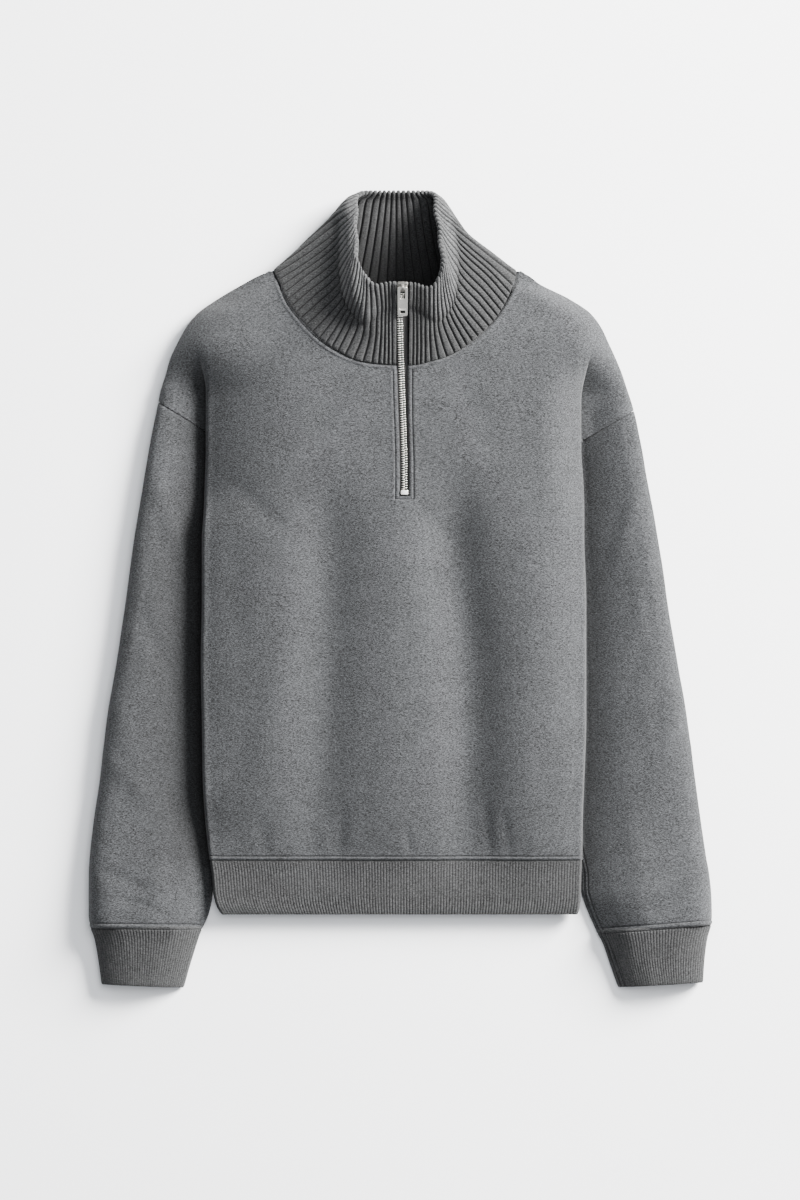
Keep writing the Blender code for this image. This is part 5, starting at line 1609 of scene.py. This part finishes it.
def build_tab(settings):
    finish = metal_finish(settings)
    low, high, level = -31.9, 1.1, 3.7
    outline = rounded(5.2, low, high, 1.6, 0.97)
    slot, window, recess = (rounded(*sizes)[::-1] for sizes in (
        (2.9, -12.6, -1.3, 1.0), (2.9, -29.2, -25.7, 0.6), (3.75, -24.2, -14.2, 0.9)))
    parts = [plate("Tab_plate", outline, [slot, window], level - 0.7, level + 0.35, 0.2, finish),
             plate("Tab_rim", outline, [slot, window, recess], level - 0.2, level + 0.7, 0.22,
                   finish)]
    piece = join("Pull_tab", parts)
    # a near-black plate fills the tab's lower window: painted shade for the dark seen through the
    # hole
    dark = metal_material("Dark inlay", (0.02, 0.02, 0.02), 0.6, 0.05)
    shade_plate = plate("Tab_inlay", rounded(3.3, -29.6, -25.3, 0.6), [], level - 0.6, level - 0.25,
                  0.05, dark)
    for part, node in ((piece, "pull_tab"), (shade_plate, None)):
        to_slider(part)
        finish_piece(part, node, body="pull_tab")


# ---------------------------------------------------------------- stitches
def on_front(line, above):
    """A line in plan laid on the front's upper face."""
    points = []
    for x, y in line:
        side = -1 if x < 4.0 else 1
        points.append((x, y, float(body_height(side, x, y)) + above))
    return np.array(points)


def build_stitches(settings):
    finish = thread_finish(settings)
    unit = rounded_block("Stitch", (settings.stitch_length / MM / 2.0 - 0.3, 0.26, 0.2), 0.12)
    top = CLOTH / 2.0 - 0.72
    guides = [on_front(STITCH_LINE_NECK[side], top) for side in (-1, 1)]
    guides.append(on_front(STITCH_SLIT, top))
    y = FRONT_END + STITCH_HEM
    xs = np.linspace(float(EDGE[-1](y)) + 4.0, float(EDGE[1](y)) - 4.0, 220)
    guides.append(on_front(np.stack([xs, np.full(len(xs), y)], axis=1), top + 0.1))
    made = row_of("Front_topstitching", unit, guides, settings.stitch_length / MM, 0.06, finish)
    remove_object(unit)
    finish_piece(made, None)


# ---------------------------------------------------------------- stage
FLOOR_HALF = 2200.0    # half the side of the floor


def build_stage(settings):
    made, tree, shader, place = start_material("Studio floor")
    grain = add_noise(tree, place.outputs["Object"], (3.0, 3.0, 3.0), 2.0)
    tint(tree, shader, settings.floor_colour, add_range(tree, grain, 0.3, 0.7, 0.99, 1.01))
    set_values(shader, {"Roughness": 0.9})
    grid = [[(x, y, 0.0) for x in (-FLOOR_HALF, FLOOR_HALF)] for y in (-FLOOR_HALF, FLOOR_HALF)]
    grid_mesh("Floor", grid, made)
    world = bpy.data.worlds.new("Studio")
    bpy.context.scene.world = world
    world.use_nodes = True
    set_values(world.node_tree.nodes["Background"],
               {"Color": (*settings.world_colour, 1.0), "Strength": settings.world_strength})
    add_light("Key softbox", (3.77, 2.64, 2.12), settings.key_power, (1.0, 0.99, 0.97))
    add_light("Fill softbox", (0.6, 0.8, 3.4), settings.fill_power, (0.96, 0.98, 1.0))
    data = bpy.data.cameras.new("Overhead")
    data.lens = settings.lens
    data.sensor_width = 36.0
    data.clip_end = 40.0
    camera = place_object("Overhead", data)
    camera.location = (0.0002, -0.0118, 8.0)
    bpy.context.scene.camera = camera


def add_light(name, place, power, colour):
    """Square softbox that faces the sweater."""
    data = bpy.data.lights.new(name, "AREA")
    data.shape = "SQUARE"
    data.size = 2.4
    data.energy = power
    data.color = colour
    made = place_object(name, data)
    made.location = place
    made.rotation_euler = (-Vector(place)).to_track_quat("-Z", "Y").to_euler()


# ---------------------------------------------------------------- add-on
def colour_value(name, description, default):
    return FloatVectorProperty(name=name, description=description, default=default, size=3,
                               min=0.0, max=1.0, subtype="COLOR")


def length_value(name, description, default, low, high):
    return FloatProperty(name=name, description=description, default=default, min=low, max=high,
                         unit="LENGTH", subtype="DISTANCE")


class SweaterSettings(bpy.types.PropertyGroup):
    """Sizes and colours of the sweater"""
    fleece_colour: colour_value("Fleece", "Mean colour of the fleece", (0.0244, 0.0254, 0.0272))
    rib_colour: colour_value("Rib", "Mean colour of collar, hem and cuffs",
                             (0.0246, 0.0250, 0.0256))
    thread_colour: colour_value("Thread", "Colour of the topstitching", (0.016, 0.0165, 0.0175))
    tape_colour: colour_value("Zip tape", "Colour of the zip tape", (0.014, 0.0135, 0.0135))
    metal_colour: colour_value("Zip metal", "Colour of teeth, slider and tab", (0.76, 0.74, 0.69))
    floor_colour: colour_value("Floor", "Colour of the studio floor", (0.90, 0.905, 0.92))
    world_colour: colour_value("Surroundings", "Colour of the soft surroundings",
                               (0.93, 0.96, 1.0))
    world_strength: FloatProperty(name="Surroundings' strength", default=0.64, min=0.0, max=8.0,
                                  description="Brightness of the soft light from all round")
    key_power: FloatProperty(name="Key light", description="Power of the key softbox",
                             default=2850.0, min=0.0, max=9000.0, unit="POWER")
    fill_power: FloatProperty(name="Fill light", description="Power of the fill softbox",
                              default=90.0, min=0.0, max=2000.0, unit="POWER")
    lens: FloatProperty(name="Lens", description="Focal length of the overhead camera",
                        default=224.3, min=20.0, max=600.0, unit="CAMERA")
    cloth_thickness: length_value("Fleece thickness", "Thickness of the fleece",
                                  0.0024, 0.001, 0.005)
    rib_pitch: length_value("Rib pitch", "Width of one rib of the hem band", 0.00305, 0.002, 0.01)
    rib_depth: length_value("Rib depth", "Depth of the grooves of hem and cuffs",
                            0.0011, 0.0, 0.003)
    collar_groove: length_value("Collar groove", "Depth of the collar's grooves",
                                0.0021, 0.0, 0.0025)
    tooth_pitch: length_value("Tooth pitch", "Distance between teeth of a row",
                              0.00254, 0.001, 0.01)
    stitch_length: length_value("Stitch", "Length of one stitch", 0.0030, 0.001, 0.01)


class SWEATER_OT_front(bpy.types.Operator):
    """Build the front with its folded-under sides, seams and creases"""
    bl_idname = "sweater.front"
    bl_label = "Front"

    def execute(self, context):
        build_front(context.scene.sweater)
        return {"FINISHED"}


class SWEATER_OT_back(bpy.types.Operator):
    """Build the back, which lies on the floor"""
    bl_idname = "sweater.back"
    bl_label = "Back"

    def execute(self, context):
        build_back(context.scene.sweater)
        return {"FINISHED"}


class SWEATER_OT_sleeves(bpy.types.Operator):
    """Build both sleeves"""
    bl_idname = "sweater.sleeves"
    bl_label = "Sleeves"

    def execute(self, context):
        for side in (-1, 1):
            build_sleeve(context.scene.sweater, side)
        return {"FINISHED"}


class SWEATER_OT_ribs(bpy.types.Operator):
    """Build the ribbed hem band and cuffs"""
    bl_idname = "sweater.ribs"
    bl_label = "Hem and cuffs"

    def execute(self, context):
        build_hem(context.scene.sweater)
        for side in (-1, 1):
            build_cuff(context.scene.sweater, side)
        return {"FINISHED"}


class SWEATER_OT_collar(bpy.types.Operator):
    """Build the ribbed funnel collar"""
    bl_idname = "sweater.collar"
    bl_label = "Collar"

    def execute(self, context):
        build_collar(context.scene.sweater)
        return {"FINISHED"}


class SWEATER_OT_zip(bpy.types.Operator):
    """Build the zip: tape, teeth, stop, slider and pull tab"""
    bl_idname = "sweater.zip"
    bl_label = "Zip"

    def execute(self, context):
        settings = context.scene.sweater
        build_tape(settings)
        build_teeth(settings)
        build_slider(settings)
        build_tab(settings)
        return {"FINISHED"}


class SWEATER_OT_stitches(bpy.types.Operator):
    """Sew the topstitching"""
    bl_idname = "sweater.stitches"
    bl_label = "Topstitching"

    def execute(self, context):
        build_stitches(context.scene.sweater)
        return {"FINISHED"}


class SWEATER_OT_stage(bpy.types.Operator):
    """Set up the floor, the lights and the overhead camera"""
    bl_idname = "sweater.stage"
    bl_label = "Stage"

    def execute(self, context):
        build_stage(context.scene.sweater)
        return {"FINISHED"}


class SWEATER_PT_panel(bpy.types.Panel):
    """Sweater pieces in the order they are built"""
    bl_label = "Sweater"
    bl_idname = "SWEATER_PT_panel"
    bl_space_type = "VIEW_3D"
    bl_region_type = "UI"
    bl_category = "Sweater"

    def draw(self, context):
        layout = self.layout
        settings = context.scene.sweater
        for name in settings.bl_rna.properties.keys():
            if name not in {"rna_type", "name"}:
                layout.prop(settings, name)
        for operator in OPERATORS:
            layout.operator(operator.bl_idname)


OPERATORS = (SWEATER_OT_front, SWEATER_OT_back, SWEATER_OT_sleeves, SWEATER_OT_ribs,
             SWEATER_OT_collar, SWEATER_OT_zip, SWEATER_OT_stitches, SWEATER_OT_stage)


def register():
    for kind in (SweaterSettings, *OPERATORS, SWEATER_PT_panel):
        bpy.utils.register_class(kind)
    bpy.types.Scene.sweater = PointerProperty(type=SweaterSettings)


def unregister():
    del bpy.types.Scene.sweater
    for kind in (SWEATER_PT_panel, *OPERATORS[::-1], SweaterSettings):
        bpy.utils.unregister_class(kind)


def main():
    register()
    bpy.ops.sweater.front()
    bpy.ops.sweater.back()
    bpy.ops.sweater.sleeves()
    bpy.ops.sweater.ribs()
    bpy.ops.sweater.collar()
    bpy.ops.sweater.zip()
    bpy.ops.sweater.stitches()
    bpy.ops.sweater.stage()
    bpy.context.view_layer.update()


if __name__ == "__main__":
    main()
